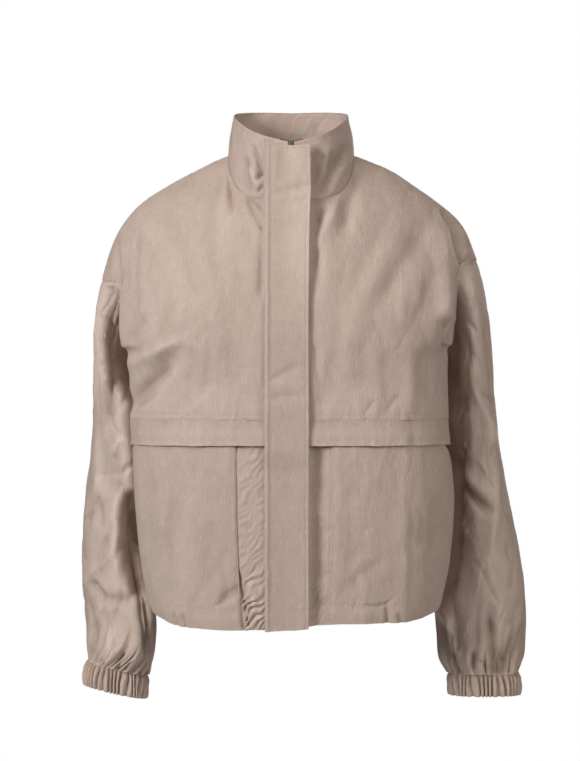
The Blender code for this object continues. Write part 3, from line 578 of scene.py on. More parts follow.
frontForm = {
    "cloth": 1.2, "acrossStep": 0.0078, "alongStep": 2.7, "lowerSteps": (0.0064, 0.022, 2.4),
    "flapLift": 1.9, "flapStand": 4.6, "flapClose": 2.2, "flapTuck": 4,
    "pocketStart": {"right": 0.222, "left": 0.157}, "pocketStand": 1.5, "pocketTop": 4, "pocketTall": 230,
    "mouth": {"right": (0.68, 0.83, 24), "left": (0.65, 0.82, 34)},  # where it falls, and how far
    "placketSide": {"right": 32, "left": 21}, "stripPucker": {"right": 1.0, "left": 0.3},
    # sewn rows: paths over the flap and under the shoulder seam, across at the armhole and the pocket's inner
    # seam, down from the pocket's mouth, up from the hem; and where the placket stops covering them
    "flapRows": (258.8, 264), "shoulderRows": (622.5, 628), "armholeRow": 0.9895, "armholeWidth": 239,
    "pocketRow": 0.008, "mouthRow": 9, "hemRow": 27, "covered": {"right": 0.105, "left": 0.066},
    # scattered creases: seed, number, two corners, lean, reach, width, depth
    "upperScatter": (101, 34, (30, -325), (190, -70), 12, 42, 4.5, 0.5),
    "pocketScatter": (103, 30, (55, -560), (190, -375), 6, 46, 4.5, 0.5),
    # creases of the upper fronts: x, z, x, z, bow, width, depth, steep
    "upper": {
        "right": ((-87, -25, -93, -47, 0, 3.5, -2.7, 1), (-93, -47, -104, -106, 0, 6, -1.8, 1),
                  (-76, -32, -72, -76, 1.5, 4.5, -4.4, 0.8), (-82, -40, -86, -138, 0, 7, 1.8, 1),
                  (-53, -50, -29, -102, 4, 3.4, -5.0, 0.6), (-49, -52, -29, -75, 2, 2.6, -3.6, 0.7),
                  (-36, -104, -37, -180, 0, 5, -3.6, 1), (-92, -118, -86, -160, 0, 6, -1.6, 1),
                  (-126, -133, -113, -175, 0, 7, -1.6, 1), (-157, -74, -125, -133, 0, 9, -1.9, 1),
                  (-191, -98, -193, -164, 0, 3.5, -2.6, 1), (-191, -166, -193, -204, 0, 6, -2.8, 1),
                  (-182, -203, -197, -233, 0, 8, -2.6, 1), (-219, -100, -214, -172, 0, 4, -2.6, 1),
                  (-204, -110, -202, -200, 0, 9, -1.5, 1), (-204, -264, -132, -234, 0, 9, 3.4, 1),
                  (-148, -264, -194, -314, 0, 10, -5.5, 0.7), (-163, -300, -192, -317, 0, 2.8, -3.2, 0.7),
                  (-150, -268, -178, -290, 0, 3, -2.0, 1), (-158, -284, -186, -304, 0, 3.2, 1.8, 1),
                  (-97, -249, -108, -303, 0, 8, -1.6, 1), (-117, -248, -121, -289, 0, 7, -1.5, 1),
                  (-79, -185, -67, -282, 0, 10, -1.7, 1), (-147, -185, -160, -233, 0, 9, -1.7, 1)),
        "left": ((82, -22, 68, -93, 0, 8, -3.0, 1), (58, -58, 30, -122, 0, 7, 2.6, 1),
                 (33, -62, 28, -150, 0, 6, -4.6, 1), (38, -72, 30, -87, 0, 3.2, -2.0, 1),
                 (123, -81, 72, -174, 0, 10, -1.4, 1), (162, -95, 99, -191, 0, 15, -1.3, 1),
                 (145, -98, 99, -180, 0, 9, 1.0, 1), (217, -154, 203, -90, 0, 9, -8.5, 0.3),
                 (203, -90, 192, -68, 0, 7, -5.0, 0.4), (222, -118, 214, -138, 0, 5, 2.4, 1),
                 (190, -105, 193, -215, 0, 16, 3.6, 0.6), (52, -67, 38, -184, 0, 9, 1.8, 1),
                 (189, -212, 190, -248, 0, 3, -4.0, 0.6), (199, -205, 189, -219, 0, 3.5, -3.0, 1),
                 (202, -214, 190, -246, 0, 5, -2.5, 1), (116, -245, 117, -320, 0, 7, -1.1, 0.8),
                 (91, -239, 88, -288, 0, 9, -1.0, 1), (104, -305, 90, -322, 0, 3, -1.5, 1),
                 (130, -301, 117, -319, 0, 3, -1.5, 1), (27, -239, 38, -321, 0, 5, -1.8, 1),
                 (60, -209, 43, -306, 0, 9, -1.8, 1), (146, -258, 143, -331, 0, 12, 1.6, 0.7),
                 (169, -239, 164, -312, 0, 10, -1.2, 1), (178, -150, 150, -215, 0, 9, -1.3, 1),
                 (196, -175, 176, -240, 0, 9, 2.2, 1)),
    },
    # creases of the lower fronts and their pockets
    "lower": {
        "right": ((-112, -366, -120, -409, 0, 6, -1.5, 1), (-90, -557, -61, -541, 0, 4, -3.0, 1),
                  (-84, -548, -62, -533, 0, 3.5, -2.2, 1), (-142, -570, -138, -590, 0, 2.6, -4.0, 1),
                  (-131, -570, -127, -590, 0, 2.6, -4.0, 1), (-140, -435, -155, -502, 0, 9, -1.6, 1),
                  (-96, -453, -106, -520, 0, 9, -1.4, 1), (-172, -392, -170, -502, 0, 8, -1.6, 1),
                  (-63, -517, -59, -552, 0, 3.5, -4.2, 1), (-59, -552, -51, -584, 0, 3.5, -4.2, 1),
                  (-48, -530, -42, -570, 0, 4, 2.6, 1), (-122, -420, -128, -540, 0, 12, 1.5, 1)),
        "left": ((92, -558, 123, -550, 4, 3, -2.0, 1), (131, -570, 137, -588, 0, 3, -3.0, 1),
                 (115, -560, 119, -586, 0, 3, -3.4, 1), (160, -438, 162, -487, 0, 7, -1.6, 1),
                 (177, -428, 173, -502, 0, 7, -1.6, 1), (72, -453, 74, -526, 0, 8, -1.3, 1),
                 (109, -502, 65, -538, 0, 8, -1.3, 1), (146, -331, 141, -557, 0, 12, 1.6, 0.7),
                 (33, -352, 33, -600, 0, 12, -6.5, 1)),
    },
}


def hemDip(path, across):
    # the turned hem: a sewn row, a fuller casing below it and short gathers across the casing
    row = frontForm["hemRow"]
    return (stitchDip(path - row, across) + 0.7 * bell(path - 13, 9)
            + 0.7 * hills(across / 9, path / 60, 31) * ramp(row + 26, row - 6, path))


def mouthFall(side, s):
    # how far the pocket's mouth has fallen, in millimetres: a smooth step towards the side seam
    first, last, drop = frontForm["mouth"][side]
    return drop * ramp(first, last, s)


def makeUpperFront(side):
    # from the flap seam to the shoulder: creases and crinkle, dips along the sewn rows, and a lift over
    # the flap
    form, half = frontForm, seamGap / 2
    placketSide = form["placketSide"][side]
    s = lines(0, 1, form["acrossStep"], (form["armholeRow"],), 0.0026, 0.008)
    path = lines(flapSeam, shoulder, form["alongStep"], (*form["flapRows"], *form["shoulderRows"]))[:, None]
    points, normal = body(side, s, path)
    x, z, u, v, grain = placesOn(points)
    grain[..., 0] += np.abs(points[:, :1, 0])
    u = grain[..., 0] / mm
    edges = ramp(0, 0.02, s) * ramp(1, 0.955, s) * ramp(shoulder, shoulder - 14, path)
    bare = ramp(placketSide - 3, placketSide + 5, np.abs(x))  # 0 under the placket
    scatter = creases(scattered(*form["upperScatter"]), np.abs(x), z)
    lift = (creases(form["upper"][side], x, z) + scatter + crinkle(u, v)) * edges * bare
    fromArm = (1 - s) * form["armholeWidth"] + np.zeros_like(x)
    lift += (stitchDip(fromArm - 2.5, v) - 0.2 * bell(fromArm, 1.6)) * ramp(underarm - 6, underarm + 20, path)
    lift += sum(stitchDip(path - row, u) for row in form["flapRows"]) * ramp(flapSeam, flapSeam + 4, path)
    lift += 0.5 * sum(stitchDip(path - row, u) for row in form["shoulderRows"])
    lift -= 0.25 * bell(s * 308, 2.0) * ramp(neck, neck + 12, path)
    lift *= np.where(lift > 0, bare, 1)
    lift += form["flapLift"] * ramp(flapSeam + 55, flapSeam, path) * ramp(1, 0.9, s)
    points = trimmed(points, half, half, half, half)
    addPanel(f"front_upper_{side}", points, normal, lift, form["cloth"], path[:, 0], s, grain)


def makeLowerFront(side):
    # from the hem to the flap seam: slanting puckers on the strip beside the placket, a groove at the
    # pocket's seam, and drawn back under the pocket, so the pocket's creases stay clear of it
    form, half = frontForm, seamGap / 2
    placketSide, inner = form["placketSide"][side], form["pocketStart"][side]
    near, far, up = form["lowerSteps"]
    s = np.unique(np.concatenate((lines(0, inner + 0.03, near), lines(inner + 0.03, 1, far))))
    path = lines(0, flapSeam, up, (form["hemRow"],))[:, None]
    points, normal = body(side, s, path)
    x, z, u, v, grain = placesOn(points)
    bare = ramp(placketSide - 3, placketSide + 5, np.abs(x)) * ramp(1, 0.96, s)
    slant = np.sin(2 * np.pi * ((u * 0.7 + signs[side] * -v * 0.7) / 8 + 1.7 * hills(u / 18, v / 24, 41)))
    slant = slant * (0.8 + 1.2 * hills(u / 15, v / 19, 42))
    strip = ramp(0, 12, u) * ramp(inner + 0.004, inner - 0.02, s)
    lift = (creases(form["lower"][side], x, z) + crinkle(u, v) * ramp(inner + 0.03, inner, s)) * bare
    lift += slant * (0.7 + 2.0 * ramp(110, 20, path)) * strip * form["stripPucker"][side] * bare
    lift += hemDip(path, u) * bare
    lift -= 1.2 * ramp(inner - 0.002, inner + 0.016, s) + 0.8 * bell(s - inner + 0.001, 0.006)
    mouth = ramp(150, 190, path) * ramp(flapSeam, flapEdge, path)
    lift -= 3.5 * ramp(0.56, 0.68, s) * ramp(1, 0.93, s) * mouth
    points = trimmed(points, 0, half, half, half)
    addPanel(f"front_lower_{side}", points, normal, lift, form["cloth"], path[:, 0], s, grain)
    # where the flap starts, a little under the placket's edge
    return np.interp(placketSide - form["flapTuck"], np.abs(points[-1, :, 0]) / mm, s)


def makeFlap(side, start):
    # a strip from the flap seam down: it stands off further towards its lower edge, which is wavy
    form, half = frontForm, seamGap / 2
    s = lines(start, 1, 0.0085)
    path = lines(flapEdge, flapSeam, 1.8)[:, None]
    points, normal = body(side, s, path)
    u, v, grain = placesOn(points)[2:]
    stand = form["flapLift"] + (form["flapStand"] - form["flapLift"]) * ramp(flapSeam, flapEdge + 10, path)
    close = form["flapClose"]
    stand = close + (stand - close) * ramp(0.74, 0.56, s)
    free = ramp(start + 0.03, start + 0.08, s) * ramp(1, 0.9, s)
    lift = stand + (crinkle(u, v) + 1.7 * hills(u / 31, v / 90, 51) * ramp(flapSeam - 4, flapEdge, path)
                    + 0.5 * bell(path - flapEdge, 3)) * free
    lift -= 0.2 * bell(path - flapSeam, 1.6)
    points = trimmed(points, 0, half, 0, half + 0.3)
    points[..., 2] += (0.9 * hills(u / 26, u * 0, 52) * ramp(flapSeam, flapEdge, path) * free) * mm
    addPanel(f"flap_{side}", points, normal, lift, form["cloth"], path[:, 0], s, grain)


def makePocket(side):
    # a patch on the lower front: its rows run from the hem to a mouth that falls towards the side seam
    form, half = frontForm, seamGap / 2
    inner, tall = form["pocketStart"][side], form["pocketTall"]
    s = lines(inner, 1, form["acrossStep"], (inner + form["pocketRow"],), 0.0026, 0.008)
    share = lines(0, 1, 0.0105, (form["hemRow"] / tall,), 0.0036, 0.011)[:, None]
    top = flapEdge + form["pocketTop"] - mouthFall(side, s)
    points, normal = body(side, s, share * top)
    x, z, u, v, grain = placesOn(points)
    edges = ramp(1, 0.96, s) * ramp(inner, inner + 0.012, s)
    scatter = creases(scattered(*form["pocketScatter"]), np.abs(x), z)
    large = (creases(form["lower"][side], x, z) + scatter) * edges
    lift = crinkle(u, v) * edges + hemDip(share * tall + 0 * s, u) * ramp(1, 0.96, s)
    lift += stitchDip(u - 2.6, v) - 1.1 * bell(u, 1.3)
    fromMouth = (1 - share) * top
    mouthFrom = form["mouth"][side][0]
    lift += stitchDip(fromMouth - form["mouthRow"], u) * ramp(mouthFrom - 0.06, mouthFrom + 0.02, s) * edges
    lift = np.maximum(lift, -1.3)
    lift = large + np.where(lift > 0, lift * ramp(3, 14, fromMouth), lift) + form["pocketStand"]
    points = trimmed(points, 0.6, 0, 0, half + 0.3)
    addPanel(f"pocket_{side}", points, normal, lift, form["cloth"], share[:, 0], s, grain)


for side in sideNames:
    makeUpperFront(side)
    makeFlap(side, makeLowerFront(side))
    makePocket(side)
print("fronts made")


# Back

backForm = {
    "cloth": 1.2, "acrossStep": 0.0145, "alongStep": 4.2,
    "shoulderRows": (632, 637.5), "armholeRow": 0.988, "armholeWidth": 260,  # as on the fronts
    "scatter": (113, 40, (10, -550), (185, -60), 8, 48, 5, 0.8),
    # creases seen from behind: x, z, x, z, bow, width, depth, steep
    "creases": ((-150, -90, -95, -170, 0, 10, -2.5, 1), (152, -85, 90, -185, 0, 11, -2.7, 1),
                (-182, -215, -140, -262, 0, 9, -3.4, 1), (180, -212, 128, -270, 0, 10, -3.7, 1),
                (-60, -40, -70, -130, 0, 10, -1.7, 1), (48, -35, 66, -120, 0, 9, -1.9, 1),
                (-110, -250, -96, -360, 0, 12, -2, 1), (105, -262, 118, -390, 0, 12, -2, 1),
                (-20, -190, -32, -330, 0, 13, 1.9, 1), (36, -210, 26, -340, 0, 12, 1.7, 1),
                (-150, -330, -142, -480, 0, 12, 2.2, 0.8), (148, -350, 152, -500, 0, 12, 2.2, 0.8),
                (-76, -400, -88, -520, 0, 11, -1.9, 1), (70, -420, 58, -540, 0, 11, -1.9, 1),
                (4, -380, -6, -500, 0, 13, -1.5, 1), (-125, -505, -120, -565, 0, 6, -2, 1),
                (118, -510, 124, -566, 0, 6, -2, 1), (30, -515, 36, -566, 0, 6, -1.7, 1),
                (-40, -508, -46, -566, 0, 6, -1.7, 1)),
}


def makeBack():
    # two halves on the same rows, joined along the centre below the nape and open at the neck above it
    form, half = backForm, seamGap / 2
    s = lines(0, 1, form["acrossStep"], (form["armholeRow"],), 0.004, 0.008)
    path = lines(shoulder, span, form["alongStep"], (*form["shoulderRows"], span - frontForm["hemRow"]), 0.9)
    path = np.unique(np.concatenate((path[np.abs(path - nape) > 0.9], [nape])))[:, None]
    joined = int(np.argmax(path[:, 0] == nape))
    outers, normals, grains, lifts = [], [], [], []
    for side in sideNames:
        points, normal = body(side, s, path)
        normal[joined:, 0, 0] = 0
        normal = unit(normal)
        x, z, u, v, grain = placesOn(points)
        grain[..., 0] = (grain[..., 0] + np.abs(points[:, :1, 0])) * signs[side] + 0.5
        u = grain[..., 0] / mm
        edges = ramp(1, 0.95, s) * ramp(shoulder, shoulder + 14, path)
        fromCentre = ramp(0, 0.03, s)
        edges = edges * np.where(path < nape, fromCentre, ramp(nape, nape + 16, path) + fromCentre).clip(0, 1)
        scatter = creases(scattered(*form["scatter"]), np.abs(x), z)
        lift = (creases(form["creases"], x, z) + scatter + crinkle(u, v)) * edges
        fromArm = (1 - s) * form["armholeWidth"] + np.zeros_like(x)
        low = ramp(backUnderarm + 6, backUnderarm - 20, path)
        lift += (stitchDip(fromArm - 3, v) - 0.2 * bell(fromArm, 1.8)) * low
        lift += 0.5 * sum(stitchDip(path - row, u) for row in form["shoulderRows"]) * ramp(0, 0.02, s)
        lift += hemDip(span - path, u) * ramp(1, 0.97, s)
        points = trimmed(points, half, 0, 0, half)
        points[:joined, 0] += unit(points[:joined, 1] - points[:joined, 0]) * half * mm
        points[joined, 0] += unit(points[joined + 1, 0] - points[joined, 0]) * half * mm
        outer = points + normal * (lift * mm)[..., None]
        outer[joined:, 0, 0] = 0
        for kept, part in ((outers, outer), (normals, normal), (grains, grain), (lifts, lift)):
            kept.append(part)
        keepPanel(f"back_{side}", outer, normal, path[:, 0], s)
    shape = outers[0].shape[:2]
    number = np.arange(shape[0] * shape[1]).reshape(shape)
    other = number + number.size
    other[joined:, 0] = number[joined:, 0]
    quads = gridQuads(*shape)
    quads = np.concatenate((quads, other.ravel()[quads][:, ::-1]))
    used, quads = np.unique(quads, return_inverse=True)
    outer, normal, grain, lift = (np.concatenate([part.reshape(number.size, -1) for part in parts])[used]
                                  for parts in (outers, normals, grains, lifts))
    # the raw lift goes to the fold attribute, which darkens the cloth's tone where it is low: painted shade in
    # troughs
    made, area = addWall("back", outer, normal, quads.reshape(-1, 4), form["cloth"], grain, lift[:, 0])
    whole = np.concatenate((outers[0][joined:, ::-1], outers[1][joined:, 1:]), axis=1)
    shoulderWidth = np.linalg.norm(np.diff(outers[0][0], axis=0), axis=1).sum()
    declare(made, "back", whole, outers[0], area, note=f"shoulder {shoulderWidth * 1000:.0f} mm, ")


makeBack()


# Sleeves

sleeveForm = {
    "cloth": 1.2, "length": 500, "radian": 50, "overarm": 0.35, "overarmRow": 5.6,
    "armholeGap": 0.3, "tuck": 3.5, "tuckDepth": 0.8, "frontStep": 3.7, "rearStep": 5.2, "wayStep": 2.5,
    "gathers": ((15, 52, 4.6, 5.2), (34, 20, 3.0, 5.0)),  # over the cuff: number, reach up, width, depth
    "gatherSeed": {"right": 81, "left": 91},
    # scattered creases: seed, number and two corners of those in front, their lean, reach, width and
    # depth, what the left side adds to the seed, and those of the backs
    "scatter": ((107, 22, (206, -420), (262, -175)), (108, 26, (195, -640), (285, -420))),
    "scatterForm": (16, 34, 3.0, 2.0), "scatterSide": {"right": 0, "left": 4},
    "rearScatter": (109, 36, (-150, 40), (10, 470), 14, 40, 4, 1.6), "rearStart": {"right": 0, "left": 9},
    # rings: way down the arm; height and its tilt; middle and half width on each side; middle and half depth;
    # how far the front swings out from the body on each side
    "rings": ((95, -245, 0.85, 217, 219, 28, 31, 33, 68, 14, 14),
              (170, -320, 0.50, 222, 222, 32, 35, 42, 68, 0, 14),
              (250, -400, 0.20, 224, 228, 32.5, 41, 50, 65, -18, 12),
              (320, -470, 0.10, 230, 236, 36.5, 50, 55, 62, -20, 8),
              (395, -545, 0, 224, 243, 42, 57, 55, 58, -24, 5),
              (450, -600, 0, 220, 245, 38, 58, 51, 54, -28, 3),
              (482, -632, 0, 221, 245, 42, 55, 47, 47, -14, 0),
              (500, -648, 0, 223, 247, 41, 47, 45, 36, 0, 0)),
    "end": {"right": -652, "left": -658}, "tilt": {"right": 0.22, "left": 0},
    # largest folds over the angle in degrees, 90 facing front, and the way down: angle, way, angle, way,
    # width, depth
    "folds": {"right": ((88, 45, 96, 130, 14, -5), (63, 180, 63, 320, 12, 3), (120, 300, 70, 400, 11, -3),
                        (-80, 240, -40, 330, 14, -4)),
              "left": ((74, 30, 78, 90, 11, 2.5), (84, 170, 100, 290, 12, -3), (130, 425, 126, 478, 9, -4),
                       (82, 420, 70, 478, 9, -4), (45, 420, 54, 486, 9, -3.5), (-80, 220, -45, 320, 14, -4))},
    # creases seen from the front
    "creases": {
        "right": ((-200, -160, -200, -292, 0, 22, -9.0, 1), (-225, -178, -220, -284, 0, 10, -3.2, 1),
                  (-238, -203, -214, -222, 0, 3, -1.8, 1), (-240, -232, -217, -250, 0, 3, -1.8, 1),
                  (-241, -260, -222, -280, 0, 3.2, -1.8, 1), (-220, -280, -236, -338, 0, 9, -4.0, 1),
                  (-210, -296, -206, -400, 0, 10, 4.5, 1), (-248, -160, -250, -300, 0, 6, 2.0, 1),
                  (-248, -354, -246, -430, 0, 8, 2.4, 1), (-246, -432, -264, -464, 0, 5, -3.0, 1),
                  (-246, -436, -242, -468, 0, 6, -2.6, 1), (-256, -541, -240, -562, 0, 6, -3.6, 1),
                  (-242, -562, -206, -562, 0, 7, -3.0, 1), (-235, -485, -246, -536, 0, 7, -2.2, 1),
                  (-193, -548, -186, -601, 0, 4, -3.6, 1), (-186, -601, -180, -628, 0, 4, -3.4, 1),
                  (-216, -628, -222, -660, 0, 4, -4.5, 1), (-243, -640, -237, -662, 0, 4, -4.0, 1),
                  (-205, -600, -212, -640, 0, 6, -2.5, 1), (-253, -598, -256, -645, 0, 5, -2.8, 1),
                  (-232, -600, -236, -648, 0, 6, 2.2, 1), (-220, -377, -227, -460, 0, 9, -1.9, 1),
                  (-220, -440, -219, -530, 0, 7, 2.5, 1), (-232, -165, -220, -182, 0, 4, -2.2, 1),
                  (-184, -548, -177, -604, 0, 6, -4.0, 1), (-177, -604, -172, -632, 0, 6, -3.5, 1)),
        "left": ((222, -157, 230, -225, 0, 8, 4.0, 1), (230, -225, 229, -290, 0, 8, 4.0, 1),
                 (198, -165, 198, -310, 0, 14, -8.0, 1), (230, -282, 205, -322, 0, 9, -3.0, 1),
                 (229, -290, 250, -335, 0, 6, 3.0, 0.7), (250, -335, 258, -366, 0, 6, 3.0, 0.7),
                 (209, -406, 248, -445, 0, 8, -5.0, 0.6), (216, -394, 250, -430, 0, 8, 2.2, 1),
                 (258, -405, 254, -530, 0, 8, 4.0, 1), (198, -350, 192, -545, 0, 27, -11.0, 1),
                 (262, -470, 257, -522, 0, 6, -1.6, 1), (275, -490, 282, -515, 0, 4, -1.5, 1),
                 (280, -531, 284, -549, 0, 4, -1.5, 1), (266, -380, 272, -450, 0, 5, -2.2, 1),
                 (245, -212, 254, -300, 0, 4.5, -2.0, 1), (251, -580, 260, -652, 0, 6, -6.5, 1),
                 (284, -608, 273, -656, 0, 5, -6.0, 1), (296, -600, 288, -645, 0, 5, -4.5, 1),
                 (203, -594, 209, -634, 0, 5, 3.6, 1), (190, -592, 200, -642, 0, 5, -4.0, 1),
                 (232, -629, 230, -650, 0, 4, -4.0, 1), (186, -572, 204, -596, 0, 6, 2.5, 1),
                 (222, -480, 226, -570, 0, 12, -1.5, 1), (240, -640, 250, -652, 0, 3, -2.6, 1),
                 (268, -560, 262, -600, 0, 7, 2.6, 1)),
    },
    # deep hollows beside the body, on the inner side of the front; through the fold attribute the cloth in
    # them also takes its darkest tone, painted shade
    "hollow": {"right": ((-198, -432, -198, -490, 0, 12, -34, 1), (-198, -490, -190, -550, 0, 12, -34, 1)),
               "left": ((203, -395, 201, -480, 0, 8, -14, 1), (201, -480, 196, -550, 0, 8, -14, 1))},
    # creases of their backs, for both sides: angle, way, angle, way, bow, width, depth, steep
    "rear": ((-70, 60, -96, 150, 0, 9, -3.4, 1), (-40, 90, -55, 190, 0, 8, -2.4, 1),
             (-120, 190, -60, 245, 0, 8, -3.4, 1), (-130, 260, -70, 300, 0, 7, -2.7, 1),
             (-30, 210, -42, 330, 0, 9, 2.2, 1), (-95, 330, -88, 440, 0, 9, -2.4, 1),
             (-50, 360, -66, 470, 0, 8, -2.5, 1), (-20, 380, -26, 470, 0, 8, -2, 1),
             (-125, 380, -120, 470, 0, 8, -2.2, 1), (-70, 410, -30, 425, 0, 6, -2, 1)),
}


def sleeveAngle(path):
    # angle round the sleeve of a place on the armhole: 0 faces out, the front is positive
    overarm = sleeveForm["overarm"]
    front = overarm + (shoulder - path) / (shoulder - underarm) * (np.pi - overarm)
    rear = overarm + (shoulder - path) / (backUnderarm - shoulder) * (np.pi + overarm)
    return np.where(path <= shoulder, front, rear)


def sleeve(side, path, way):
    # sleeve on a grid of ways (R) by armhole places (N): curves down the arm from the armhole through tilted
    # ovals x = cx + rx cos a + turn sin a, y = cy - ry sin a, then the largest folds along the normals
    form, sign = sleeveForm, signs[side]
    pick = sideNames.index(side)
    pair = body(side, np.array((0.985, 1.0)), path[:, None])[0]
    armhole, past = pair[:, 1], unit(pair[:, 1] - pair[:, 0])
    angle = sleeveAngle(path)
    rings = np.array(form["rings"], float)
    knots, z, slope, cy, ry, turn = (rings[:, at:at + 1] for at in (0, 1, 2, 7, 8, 9 + pick))
    cx, rx = rings[:, 3 + pick:4 + pick], rings[:, 5 + pick:6 + pick]
    radial = np.cos(angle) * rx + np.sin(angle) * turn
    shift = form["end"][side] - rings[-1, 1] + form["tilt"][side] * radial
    shift = shift * ramp(rings[4, 0], rings[-1, 0], knots)
    y, z = cy - np.sin(angle) * ry, z + shift + slope * radial
    ovals = np.stack((sign * (cx + radial), y, z), axis=-1) * mm
    above = np.minimum(path - underarm, backUnderarm - path)
    share = ramp(0, 22, above)[:, None]
    start = armhole + form["armholeGap"] * mm * (past * share + unit(ovals[0] - armhole) * (1 - share))
    knots = np.concatenate(([0], knots[:, 0]))
    points = curveAt(knots, np.concatenate((start[None], ovals)), way[:, None])
    normal = gridNormal(points) * -sign
    ways = way[:, None] + 0 * angle
    move = largeFolds(aroundRows(form["folds"][side]), angle * form["radian"] + 0 * ways, ways)
    move = move * ramp(10, 45, ways) * ramp(form["length"], form["length"] - 18, ways)
    return points + normal * (move * mm)[..., None], normal, angle, ways


def aroundRows(rows, later=0):
    # rows of folds with their angles in degrees made millimetres round the sleeve, starting later down
    # the arm
    radian = sleeveForm["radian"]
    return [(np.radians(a0) * radian, w0 + later, np.radians(a1) * radian, w1, *rest)
            for a0, w0, a1, w1, *rest in rows]


def gatherRows(seed, count, reach, width, depth):
    # seeded folds that run up from the cuff: lines over the way round the sleeve and the way down the arm
    draw = np.random.default_rng(seed)
    length, radian = sleeveForm["length"], sleeveForm["radian"]
    at = ((np.arange(count) + draw.uniform(0.1, 0.9, count)) / count * 2 - 1) * np.pi * radian
    up = reach * draw.uniform(0.45, 1.5, count)
    lean = up * draw.uniform(-0.25, 0.25, count)
    wide, deep = width * draw.uniform(0.7, 1.4, count), depth * draw.uniform(0.5, 1.4, count)
    first, last = length - 4 - up, length + 5 + up
    return np.stack((at + lean, first, at, last, 0 * at, wide, -deep, 1 + 0 * at), axis=1)


def sleeveLift(side, points, normal, angle, ways, u, v):
    # creases seen from the front, hollows beside the body, creases of the back over the way round and down,
    # gathers over the cuff and crinkle, in millimetres; all fade at the armhole and under the arm
    form = sleeveForm
    x, z = points[..., 0] / mm, points[..., 2] / mm
    facing, behind = ramp(0.02, 0.4, -normal[..., 1]), ramp(0.3, -0.1, angle)
    turn = angle * form["radian"] + 0 * ways
    lift = creases(form["creases"][side], x, z) * facing * 1.5
    lift += creases(form["hollow"][side], x, z) * ramp(0.1, 0.45, np.sin(angle))
    for seed, *place in form["scatter"]:
        rows = scattered(seed + form["scatterSide"][side], *place, *form["scatterForm"])
        lift += creases(rows, np.abs(x), z) * facing
    lift += creases(aroundRows(form["rear"], form["rearStart"][side]), turn, ways) * behind
    lift += creases(scattered(*form["rearScatter"]), turn, ways) * behind
    for number, gather in enumerate(form["gathers"]):
        lift += creases(gatherRows(number + form["gatherSeed"][side], *gather), turn, ways)
    lift += crinkle(u, v) * 1.3
    ends = ramp(0, 16, ways) * ramp(form["length"] + 2, form["length"] - 2, ways)
    return lift * (ends * (0.25 + 0.75 * ramp(0, 0.12, np.pi - np.abs(angle))))


def makeSleeves(side):
    # front and back of one sleeve, cut from one grid along the overarm seam
    form, half = sleeveForm, seamGap / 2
    front = lines(underarm, shoulder, form["frontStep"], (shoulder - form["overarmRow"],), 1.3, 4)
    rear = lines(shoulder, backUnderarm, form["rearStep"])
    around = np.concatenate((front, rear[1:]))
    points, normal, angle, ways = sleeve(side, around, lines(0, form["length"], form["wayStep"], (3,)))
    closing = unit(normal[:, 0] + normal[:, -1])
    normal[:, 0], normal[:, -1] = closing, closing
    # its first row is tucked in under the armhole's edge
    tuck = form["tuck"] * (0.1 + 0.9 * ramp(0, 22, np.minimum(around - underarm, backUnderarm - around)))
    points = np.concatenate((points[:1] - unit(points[1:2] - points[:1]) * tuck[None, :, None] * mm, points))
    normal, ways = np.concatenate((normal[:1], normal)), np.concatenate((ways[:1] - form["tuck"], ways))
    grain = grainOf(points)
    grain[..., 0] -= grain[:, len(front) - 1:len(front), 0]
    u, v = grain[..., 0] / mm, grain[..., 1] / mm
    lift = sleeveLift(side, points, normal, angle, ways, u, v)
    # near the cuff the folds go straight in, so the end row keeps its height
    normal[..., 2] *= ramp(form["length"], form["length"] - 16, ways)
    normal = unit(normal)
    lift += stitchDip(ways - 4, u) * ramp(0, 2, ways) - form["tuckDepth"] * ramp(9, 0, ways)
    overarm = (angle - form["overarm"]) * 48
    lift += stitchDip(overarm - 2.4, v) * ramp(8, 20, ways) - 0.35 * bell(overarm, 1.4)
    cut = len(front)
    for part, columns in (("front", slice(0, cut)), ("back", slice(cut - 1, None))):
        grid = trimmed(points[:, columns], 0, 0, half, half)
        addPanel(f"sleeve_{part}_{side}", grid, normal[:, columns], lift[:, columns], form["cloth"],
                 ways[:, 0], around[columns], grain[:, columns])


for side in sideNames:
    makeSleeves(side)
print("back and sleeves made")


# Cuffs

cuffForm = {
    "cloth": 1.2, "gathers": 20, "depth": 8.2, "height": {"right": 30, "left": 28}, "columns": 400,
    "sewnRow": 0.1, "radius": 42, "taken": 1.25,  # taken: what finer gathers add to the length
    # rings: share of the height; middle and half width on each side; middle and half depth
    "rings": ((0, 224, 248, 40, 46, 45, 33), (0.5, 226, 249, 39.5, 45, 45, 31),
              (1, 226, 249, 39, 44.5, 45, 31)),
}


